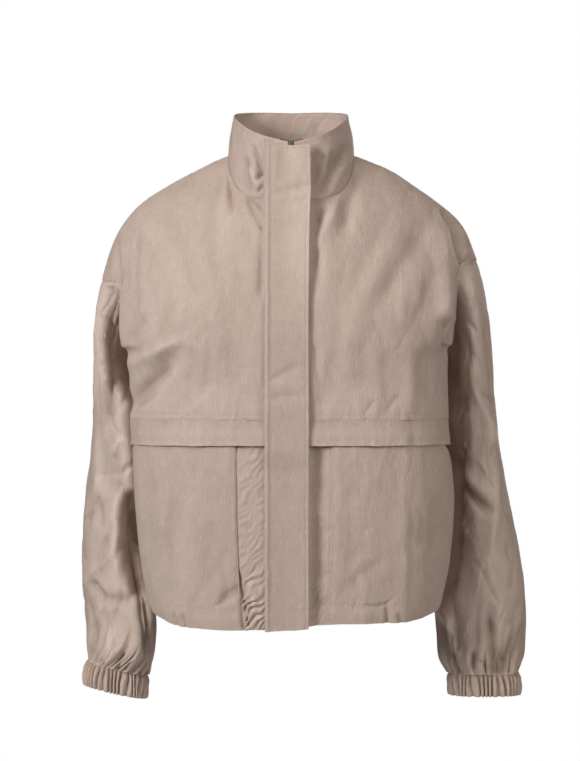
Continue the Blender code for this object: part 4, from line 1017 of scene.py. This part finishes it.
def makeCuff(side):
    # gathered elastic: ovals whose radius swells between the gathers as the absolute value of a cosine,
    # with the gathers drifting a little round the arm, and a scalloped lower edge
    form, sign = cuffForm, signs[side]
    pick = sideNames.index(side)
    angle = np.arange(form["columns"]) * 2 * np.pi / form["columns"]
    down = lines(0, 1, 0.05, (form["sewnRow"],), 0.03, 0.06)[:, None]
    rings = np.array(form["rings"], float)
    cx, rx, cy, ry = (np.interp(down, rings[:, 0], rings[:, at]) for at in (1 + pick, 3 + pick, 5, 6))
    loop = np.stack((np.cos(angle), np.sin(angle)))
    drift = 0.16 * hills(loop[0] * 2.6 + 9, loop[1] * 2.6 + down * 0.6, 71)
    strength = 0.8 + 0.8 * hills(loop[0] * 4 + 5, loop[1] * 4 + 4 + down * 0.7, 72)
    fold = np.abs(np.cos(form["gathers"] * (angle + drift))) ** 0.75
    swell = form["depth"] * (fold - 0.62) * strength + 0.5 * hills(loop[0] * 14, loop[1] * 14 + down * 3, 73)
    swell = swell * (0.45 + 0.55 * ramp(0, 0.3, down)) - 1.6 * bell(down, 0.12)
    swell = swell + 1.0 * bell(down - 0.6, 0.3) - 0.8 * bell(down - 1, 0.08)
    height = form["height"][side]
    x = cx + (rx + swell) * np.cos(angle)
    y = cy - (ry + swell) * np.sin(angle)
    z = sleeveForm["end"][side] - seamGap - down * height - 1.2 * (fold - 0.5) * ramp(0.6, 1, down)
    z = z + sleeveForm["tilt"][side] * sleeveForm["rings"][-1][5 + pick] * np.cos(angle)
    outer = np.stack((sign * x, y, z), axis=-1) * mm
    facing = np.stack((sign * np.cos(angle), -np.sin(angle), 0 * angle), axis=-1) + 0 * outer
    nearest = np.minimum(angle, 2 * np.pi - angle)  # the grain runs both ways round to meet itself
    grain = np.stack((nearest * form["radius"] * mm + 0 * down, down * height * mm + 0 * angle), axis=-1)
    # the fold values here are 1.5 times the swell less 2.5, so the cloth's tone darkens over the whole cuff
    # and most in the gathers' valleys: painted shade
    made, area = addWall(f"cuff_{side}", outer.reshape(-1, 3), facing.reshape(-1, 3),
                         gridQuads(len(down), len(angle), True), form["cloth"], grain.reshape(-1, 2),
                         (1.5 * swell - 2.5 + 0 * z).ravel())
    declare(made, f"cuff_{side}", outer, outer, area, form["taken"])
    keepPanel(f"cuff_{side}", outer, facing, down[:, 0], angle)


for side in sideNames:
    makeCuff(side)
print("cuffs made")


# Collar

collarForm = {
    "cloth": 2.0, "bulge": 1.5, "rimRow": 4.5, "step": 1.5, "creaseShare": 1.35,
    "covered": ((29, 36), (18, 25)),  # where the placket stops covering it, right and left of the middle
    # the rim over the neckline: path, x, y, z
    "rim": ((525, 4, -86, 13), (577, 47, -68, 27), (630, 72, -8, 52), (683, 55, 44, 62), (735, 0, 59, 63)),
    # creases seen from the front: x, z, x, z, bow, width, depth, steep
    "creases": ((-46, 6, -36, -29, 0, 4, -4.4, 0.7), (-58, -9, -51, -48, 0, 5, -3.8, 1),
                (-43, -34, -29, -21, 0, 2.8, -3.4, 1), (-41, -48, -29, -36, 0, 2.8, -3.2, 1),
                (-36, -57, -29, -50, 0, 2.6, -2.8, 1), (-52, -20, -40, -44, 0, 5, 2.6, 1),
                (67, 4, 39, -53, 0, 8, -5.5, 0.6), (36, 2, 28, -46, 0, 9, -5.0, 1),
                (53, 1, 48, -19, 0, 4, -2.6, 1)),
    "rear": ((-30, 50, -36, 8, 0, 7, -2.4, 1), (24, 52, 34, 10, 0, 7, -2.2, 1),
             (-4, 40, 6, 6, 0, 8, -1.5, 1)),
}


def collarPoint(side, path, height):
    # collar over the neckline: straight lines from the neckline to the rim's curve, bulging as a parabola
    form = collarForm
    base = plainBody(side, np.array((0.0,)), path[:, None])[:, 0]
    rim = np.array([row[1:] for row in form["rim"]], float) * mm
    rim = curveAt([row[0] for row in form["rim"]], rim[:, None, :], path[:, None])[:, 0]
    rim[:, 0] *= signs[side]
    out = unit(base * (1, 1, 0) + (0, 15 * mm, 0))
    height = height[..., None]
    return base + (rim - base) * height + out * form["bulge"] * mm * 4 * height * (1 - height)


def makeCollar():
    # both halves on one grid, from the front edge round the nape to the other front edge
    form, half = collarForm, seamGap / 2
    path = lines(neck, nape, form["step"])
    height = lines(0, 1, 0.024, (0.055,), 0.011, 0.034)[:, None]
    both = {side: collarPoint(side, path, height + 0 * path) for side in sideNames}
    points = np.concatenate((both["right"], both["left"][:, -2::-1]), axis=1)
    normal = gridNormal(points)
    normal *= np.sign((normal * (points * (1, 1, 0))).sum())
    x, z, u, v, grain = placesOn(points)
    rise = np.linalg.norm(points[-1] - points[0], axis=1) / mm
    right, left = form["covered"]
    bare = np.where(x < 0, ramp(*right, -x), ramp(*left, x))
    bare = np.where(points[..., 1] > 0, 1, bare)
    lift = form["creaseShare"] * creases(form["creases"], x, z) * ramp(0.1, 0.4, -normal[..., 1])
    lift += creases(form["rear"], x, z) * ramp(0.1, 0.4, normal[..., 1]) + 0.8 * crinkle(u, v)
    lift *= ramp(0, 0.05, height) * ramp(1.02, 0.9, height)
    lift += stitchDip((1 - height) * rise - form["rimRow"], u) + 0.35 * bell((1 - height) * rise - 2, 1.6)
    lift -= 0.25 * bell(height * rise, 1.8)
    lift = np.where(lift > 0, lift * bare, lift * (0.35 + 0.65 * bare))
    points = trimmed(points, half, 0, 0, 0)
    addPanel("collar", points, normal, lift, form["cloth"], height[:, 0], np.arange(points.shape[1]), grain)


makeCollar()


# Placket and zip

placketForm = {
    "cloth": 2.0, "right": -32, "left": 21, "stand": 3.0, "overFlap": 3.9, "onCollar": 1.8,
    "top": (0.96, 0.86), "loose": 6.5,  # loose: how far its free edge stands off near the neck
    "ridge": -29, "rowRight": -24.5, "rowLeft": 17, "length": neck + 100, "endRows": (4, neck + 95),
    # control rows: paths up the body, and shares of the collar's height in hundredths
    "low": (0, 28, 88, 158, 222, 257, 294, 340, 380, 420, 455, 485, 510), "high": (16, 34, 52, 68, 84, 100),
    # creases seen from the front
    "creases": ((-22, -50, 16, -46, 0, 4, -2.6, 1), (-22, -68, 18, -61, 0, 4, -2.6, 1),
                (-22, -88, 11, -90, 0, 4, -2.2, 1), (-22, -282, 6, -265, 0, 5, -2.2, 1),
                (-22, -304, 17, -297, 0, 5, -2.4, 1), (-10, 1, -14, -34, 0, 5, -2.4, 1)),
}


def frontStrip(xs, rows, top, heights):
    # strip of the front at fixed distances xs from the middle: its control rows lie on the body up to the
    # neck row and then on the collar, at shares of its height times top (C); smooth curves run through
    # them
    low, high = np.array(placketForm["low"], float), np.array(placketForm["high"], float)
    near, up = np.linspace(0, 0.16, 161), np.linspace(0, 1.05, 106)
    beside = np.linspace(neck, neck + 42, 121)
    control = np.zeros((len(low) + len(high), len(xs), 3))
    for side in sideNames:
        numbers = np.flatnonzero((xs >= 0) == (side == "left"))
        if not len(numbers):
            continue
        wide = np.abs(xs[numbers]) * mm
        grid = plainBody(side, near, low[:, None])
        band = collarPoint(side, beside, up[:, None] + 0 * beside)
        bandAt = np.zeros((len(up), len(wide), 3))
        for axis in range(3):
            for row in range(len(low)):
                control[row, numbers, axis] = np.interp(wide, np.abs(grid[row, :, 0]), grid[row, :, axis])
            for row in range(len(up)):
                bandAt[row, :, axis] = np.interp(wide, np.abs(band[row, :, 0]), band[row, :, axis])
            for column, number in enumerate(numbers):
                at = high / 100 * top[number]
                control[len(low):, number, axis] = np.interp(at, up, bandAt[:, column, axis])
    control[:, :, 0] = (xs * mm)[None, :]
    points = curveAt(np.concatenate((low, neck + high)), control, rows[:, None])
    normal = gridNormal(points)
    normal *= -np.sign(normal[..., 1].sum())
    return points + normal * (heights * mm)[..., None], normal


def makePlacket():
    # a strip that stands off over the flaps and the collar's seam, with a ridge along its sewn side, a
    # free edge that comes loose towards the neck, and sewn rows along both sides and both ends
    form = placketForm
    right, left, endRows = form["right"], form["left"], form["endRows"]
    xs = lines(right, left, 1.5, (form["ridge"], form["rowRight"], form["rowLeft"]), 0.6, 1.8)
    rows = lines(0, form["length"], 2.9, endRows, 0.8)
    over = ramp(flapEdge - 34, flapEdge - 4, rows) * ramp(flapSeam + 60, flapSeam + 10, rows)
    stand = form["stand"] + form["overFlap"] * over + form["onCollar"] * ramp(neck - 45, neck - 5, rows)
    top = np.interp(xs, (right, left), form["top"])
    points, normal = frontStrip(xs, rows, top, stand[:, None] + 0 * xs)
    x, z, u, v, grain = placesOn(points)
    lift = creases(form["creases"], x, z) + 0.8 * crinkle(u, v)
    lift = np.maximum(lift, -1.6) * ramp(right, right + 8, x)
    lift += form["loose"] * ramp(-14, left, x) * (0.2 + 0.8 * ramp(330, neck - 10, rows))[:, None]
    lift += 1.5 * bell(x - form["ridge"], 2.3) + stitchDip(x - form["rowRight"], v)
    lift += stitchDip(x - form["rowLeft"], v) + 0.4 * bell(x - left, 2) - 0.5 * bell(x - right, 0.9)
    lift += sum(stitchDip(rows[:, None] - row, x) for row in endRows)
    points[0, :, 2] -= 2 * mm
    addPanel("placket", points, normal, lift, form["cloth"], rows, xs, grain)


makePlacket()

zipForm = {
    "tape": 13, "wall": 1.0, "edge": 1.6, "top": 1.03, "columns": 12, "rib": 0.12,
    "pitch": 3.0, "tooth": (2.6, 1.5, 1.5), "taper": 0.7, "bite": 0.6,
    "sliderGrid": (48, 23), "waist": 0.16,
}


def joinCopies(name, shape, faces, centres, axes, finish, slot):
    # one mesh of many copies of a small shape (V, 3): each at a centre, on its own three axes (N, 3, 3)
    points = centres[:, None, :] + np.einsum("vk,nkd->nvd", shape, axes)
    first = (np.arange(len(centres)) * len(shape))[:, None, None]
    return fillMesh(name, points.reshape(-1, 3),
                    [(part[None] + first).reshape(-1, part.shape[1]) for part in faces], finish, slot)[0]


def runAlong(points):
    # length along a line of points from its start to each of them
    return np.concatenate(([0], np.cumsum(np.linalg.norm(np.diff(points, axis=0), axis=1))))


def readAlong(at, run, values):
    # values (N, 3) read at lengths along a line
    return np.stack([np.interp(at, run, values[:, axis]) for axis in range(3)], axis=1)


def makeTapes():
    # two ribbed tapes behind the placket, and blocks for teeth at an even pitch along their inner edges, the
    # left ones half a pitch further up
    form = zipForm
    pitch, (wide, deep, tall) = form["pitch"], (size * mm for size in form["tooth"])
    rows = lines(4, placketForm["length"], 4)
    depth = -1.5 - 2.7 * ramp(neck - 75, neck - 25, rows)
    cube = np.array([(x, y, z) for x in (-0.5, 0.5) for y in (-0.5, 0.5) for z in (-0.5, 0.5)])
    sides = np.array(((0, 1, 3, 2), (4, 6, 7, 5), (0, 4, 5, 1), (2, 3, 7, 6), (0, 2, 6, 4), (1, 5, 7, 3)))
    cube[:, 2] *= np.where(cube[:, 0] < 0, form["taper"], 1)
    centres, axes = [], []
    for side in sideNames:
        sign = signs[side]
        xs = np.sort(sign * np.linspace(form["edge"], form["edge"] + form["tape"], form["columns"]))
        heights = depth[:, None] + form["rib"] * np.cos(xs * 2.6)
        points, normal = frontStrip(xs, rows, np.full(len(xs), form["top"]), heights)
        quads, grain = gridQuads(*points.shape[:2]), grainOf(points).reshape(-1, 2)
        made, area = addWall(f"zip_tape_{side}", points.reshape(-1, 3), normal.reshape(-1, 3), quads,
                             form["wall"], grain, np.zeros(points.size // 3), tapeCloth, "zip_tape")
        declare(made, f"zip_tape_{side}", points, points, area)
        inner = 0 if side == "left" else -1
        edge, run = points[:, inner], runAlong(points[:, inner])
        at = np.arange(6, run[-1] / mm - 4, pitch) * mm + (pitch / 2 * mm if side == "left" else 0)
        up = unit(readAlong(at, run, np.gradient(edge, axis=0)))
        facing = unit(readAlong(at, run, normal[:, inner]))
        across = unit(np.cross(up, facing))
        across *= np.sign(across[:, :1]) * -sign
        sunk = across * form["bite"] * mm + facing * form["wall"] / 2 * mm
        centres.append(readAlong(at, run, edge) - sunk)
        axes.append(np.stack((across * wide, facing * deep, up * tall), axis=1))
    centres, axes = np.concatenate(centres), np.concatenate(axes)
    joinCopies("zip_teeth", cube, [sides], centres, axes, zipMetal, "zip_metal")


def makeSlider():
    # a squared round body with a waist, in its solid's box: powers of cosines on a grid of longitude and
    # latitude
    low, high = (np.array(corner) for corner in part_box("zip_slider"))
    middle, size = (low + high) / 2, (high - low) / 2
    turns, leans = zipForm["sliderGrid"]
    turn = np.linspace(0, 2 * np.pi, turns + 1)[:-1]
    lean = np.linspace(-np.pi / 2, np.pi / 2, leans + 2)[1:-1, None]

    def squared(value, power):
        return np.sign(value) * np.abs(value) ** power

    girth, waist = squared(np.cos(lean), 0.4), zipForm["waist"]
    ring = np.stack((girth * squared(np.cos(turn), 0.45) * (1 - waist + waist * np.sin(lean) ** 2),
                     girth * squared(np.sin(turn), 0.45), squared(np.sin(lean), 0.5) + 0 * turn), axis=-1)
    points = np.concatenate((ring.reshape(-1, 3), ((0, 0, -1), (0, 0, 1)))) * size + middle
    number, count = np.arange(turns), leans * turns
    after, top = (number + 1) % turns, count - turns
    below = np.stack((after, number, np.full(turns, count)), axis=1)
    above = np.stack((number + top, after + top, np.full(turns, count + 1)), axis=1)
    quads = gridQuads(leans, turns, True)
    made = fillMesh("zip_slider", points, [quads, below, above], zipMetal, "zip_metal")[0]
    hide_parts("zip_slider")


makeTapes()
makeSlider()
print("collar, placket and zip made")


# Stitches

threadForm = {
    # the last two sizes of the next line belong to the dark spindles between stitches, painted shade
    "pitch": 3.2, "length": 2.1, "radius": 0.42, "raised": 0.08, "stitchShade": (0.55, 0.5, 0.22), "holeSunk": 0.05,
    "corners": 4, "shoulder": (0.55, 0.8),  # of a stitch: how far along, and how thick there
}


def seamLine(panel, columns, rows):
    # points and normals of a panel along places on its columns and rows, between its grid's own points
    grid = panels[panel]
    columns, rows = np.broadcast_arrays(np.asarray(columns, float), np.asarray(rows, float))
    c = np.interp(columns, grid["columns"], np.arange(len(grid["columns"])))
    r = np.interp(rows, grid["rows"], np.arange(len(grid["rows"])))
    c0 = np.clip(np.floor(c).astype(int), 0, len(grid["columns"]) - 2)
    r0 = np.clip(np.floor(r).astype(int), 0, len(grid["rows"]) - 2)
    cPart, rPart = (c - c0)[:, None], (r - r0)[:, None]

    def read(values):
        low = values[r0, c0] * (1 - cPart) + values[r0, c0 + 1] * cPart
        high = values[r0 + 1, c0] * (1 - cPart) + values[r0 + 1, c0 + 1] * cPart
        return low * (1 - rPart) + high * rPart

    return read(grid["outer"]), unit(read(grid["normal"]))


def stitchPlaces(points, normal):
    # centres and axes of stitches at an even pitch along a line on the cloth
    form, run = threadForm, runAlong(points)
    at = np.arange(form["pitch"] * 0.7, run[-1] / mm - 1, form["pitch"]) * mm
    along = unit(readAlong(at + 0.8 * mm, run, points) - readAlong(at - 0.8 * mm, run, points))
    out = unit(readAlong(at, run, normal))
    side = unit(np.cross(out, along))
    length, radius = form["length"] / 2 * mm, form["radius"] * mm
    axes = np.stack((along * length, side * radius, np.cross(along, side) * radius), axis=1)
    return readAlong(at, run, points) + out * form["raised"] * mm, axes


def sewnRows():
    # every sewn row as centres and axes of its stitches
    even = np.linspace(0, 1, 500)
    front, back, strip = frontForm, backForm, placketForm
    hemRow, rows = front["hemRow"], []

    def sew(panel, columns, along):
        rows.append(stitchPlaces(*seamLine(panel, columns, along)))

    for side in sideNames:
        inner, covered = front["pocketStart"][side], front["covered"][side]
        upper, pocket = f"front_upper_{side}", f"pocket_{side}"
        for row in front["flapRows"]:
            sew(upper, covered + even * (0.99 - covered), row)
        for row in front["shoulderRows"]:
            sew(upper, 0.006 + even * 0.985, row)
        sew(upper, front["armholeRow"], underarm + 8 + even * (shoulder - underarm - 12))
        sew(f"front_lower_{side}", covered + even * (inner - covered - 0.004), hemRow)
        seam = inner + front["pocketRow"]
        sew(pocket, seam + even * (0.985 - inner), hemRow / front["pocketTall"])
        sew(pocket, seam, 0.01 + even * 0.98)
        first = front["mouth"][side][0] - 0.02
        mouth = first + even * (0.965 - first)
        sew(pocket, mouth, 1 - front["mouthRow"] / (flapEdge + front["pocketTop"] - mouthFall(side, mouth)))
        sew(f"back_{side}", 0.004 + even * 0.985, span - hemRow)
        for row in back["shoulderRows"]:
            sew(f"back_{side}", 0.006 + even * 0.985, row)
        sew(f"back_{side}", back["armholeRow"], shoulder + 4 + even * (backUnderarm - shoulder - 12))
        sew(f"sleeve_front_{side}", shoulder - sleeveForm["overarmRow"], 8 + even * 486)
        sew(f"cuff_{side}", even * 6.26, cuffForm["sewnRow"])
    collar = panels["collar"]
    rise = np.linalg.norm(collar["outer"][-1] - collar["outer"][0], axis=1) / mm
    around = even * (len(rise) - 1)
    sew("collar", around, 1 - collarForm["rimRow"] / np.interp(around, np.arange(len(rise)), rise))
    for x in (strip["rowRight"], strip["rowLeft"]):
        sew("placket", x, 4 + even * (neck + 91))
    for row in strip["endRows"]:
        sew("placket", strip["rowRight"] + even * (strip["rowLeft"] - strip["rowRight"]), row)
    return (np.concatenate([row[part] for row in rows]) for part in (0, 1))


def makeStitches():
    # one small spindle for each stitch, and a flatter dark one at each gap between two of them: painted shade
    # between the stitches
    form = threadForm
    count, (far, thick) = form["corners"], form["shoulder"]
    number = np.arange(count)
    ring = number * 2 * np.pi / count
    hoop = np.stack((0 * ring, np.cos(ring), np.sin(ring)), axis=1) * (0, thick, thick)
    shape = np.concatenate((hoop - (far, 0, 0), hoop + (far, 0, 0), ((-1, 0, 0), (1, 0, 0))))
    after = (number + 1) % count
    faces = [np.stack((number, number + count, after + count, after), axis=1),
             np.stack((number, after, np.full(count, 2 * count)), axis=1),
             np.stack((after + count, number + count, np.full(count, 2 * count + 1)), axis=1)]
    centres, axes = sewnRows()
    half = len(centres) // 2
    for name, part in (("stitches_lower", slice(0, half)), ("stitches_upper", slice(half, None))):
        joinCopies(name, shape, faces, centres[part], axes[part], thread, "cloth")
    # dark spindles at each gap between stitches: painted shade
    size = np.array(form["stitchShade"])[:, None] * mm
    ends = centres + unit(axes[:, 0]) * form["pitch"] / 2 * mm - unit(axes[:, 2]) * form["holeSunk"] * mm
    joinCopies("painted_stitch_shade", shape, faces, ends, unit(axes) * size, stitchShade, "cloth")
    print("stitches made:", len(centres))


makeStitches()


# Stage, light and camera

stageForm = {
    "floor": -1.4, "floorRadius": 1.2, "floorRings": (0.02, 0.5, 1.0), "floorCorners": 96,
    "ambient": 0.02, "camera": (-0.0013, -3.2, -0.2826), "lens": 119.2,
    # place, aim, size, power, colour
    "lights": {"key": ((-2.6, -2.25, 0.7), (0, -0.05, -0.3), 1.2, 86, (0.965, 0.985, 1)),
               "high": ((-1.5, -2.2, 2.2), (0, -0.05, -0.3), 1.2, 24, (1, 1, 1)),
               "front": ((0.2, -2.8, 2.0), (0, -0.05, -0.3), 1.4, 16, (1, 1, 1)),
               "fill": ((2.5, -2.2, 0.4), (0, -0.05, -0.3), 1.6, 36, (1, 0.955, 0.91)),
               "top": ((0.0, -0.5, 2.4), (0, -0.05, -0.3), 1.4, 6, (1, 1, 1)),
               "behind": ((0.9, 3.0, 0.1), (0, 0.05, -0.3), 1.8, 38, (1, 1, 1))},
}


def aimed(made, place, aim):
    # put an object at a place with its -Z axis towards the aim
    made.location = place
    made.rotation_euler = (Vector(aim) - Vector(place)).to_track_quat("-Z", "Y").to_euler()


def makeStage():
    # a pale disc far below the jacket, area lights round it, a white backdrop and a level camera
    form = stageForm
    count = form["floorCorners"]
    turn = np.arange(count) * 2 * np.pi / count
    radius = (np.array(form["floorRings"]) * form["floorRadius"])[:, None]
    level = form["floor"] + 0 * radius * turn
    disc = np.stack((radius * np.cos(turn), radius * np.sin(turn), level), axis=-1)
    faces = [tuple(range(count))] + gridQuads(len(radius), count, True)[:, ::-1].tolist()
    mesh = bpy.data.meshes.new("floor")
    mesh.from_pydata(disc.reshape(-1, 3).tolist(), [], faces)
    mesh.materials.append(mottledFinish("paleFloor"))
    floor = bpy.data.objects.new("floor", mesh)
    bpy.context.scene.collection.objects.link(floor)
    for name, (place, aim, size, power, colour) in form["lights"].items():
        light = bpy.data.lights.new(name, "AREA")
        light.shape, light.size, light.energy, light.color = "DISK", size, power, colour
        lamp = bpy.data.objects.new(name, light)
        bpy.context.scene.collection.objects.link(lamp)
        aimed(lamp, place, aim)
    # white to the camera, a softer grey to the cloth
    world = bpy.data.worlds.new("studio")
    bpy.context.scene.world = world
    world.use_nodes = True
    wire = Wire(world.node_tree)
    seen = wire.node("ShaderNodeLightPath", output="Is Camera Ray")
    strength = form["ambient"] + seen * (1.0 - form["ambient"])
    backdrop = world.node_tree.nodes["Background"]
    backdrop.inputs["Color"].default_value = (1, 1, 1, 1)
    strength.feed(backdrop, "Strength")
    bpy.context.scene.view_settings.view_transform = "Standard"
    view = bpy.data.cameras.new("camera")
    view.lens = form["lens"]
    camera = bpy.data.objects.new("camera", view)
    bpy.context.scene.collection.objects.link(camera)
    camera.location = form["camera"]
    camera.rotation_euler = (np.pi / 2, 0, 0)
    bpy.context.scene.camera = camera


makeStage()
print("stage set")

bpy.context.view_layer.update()
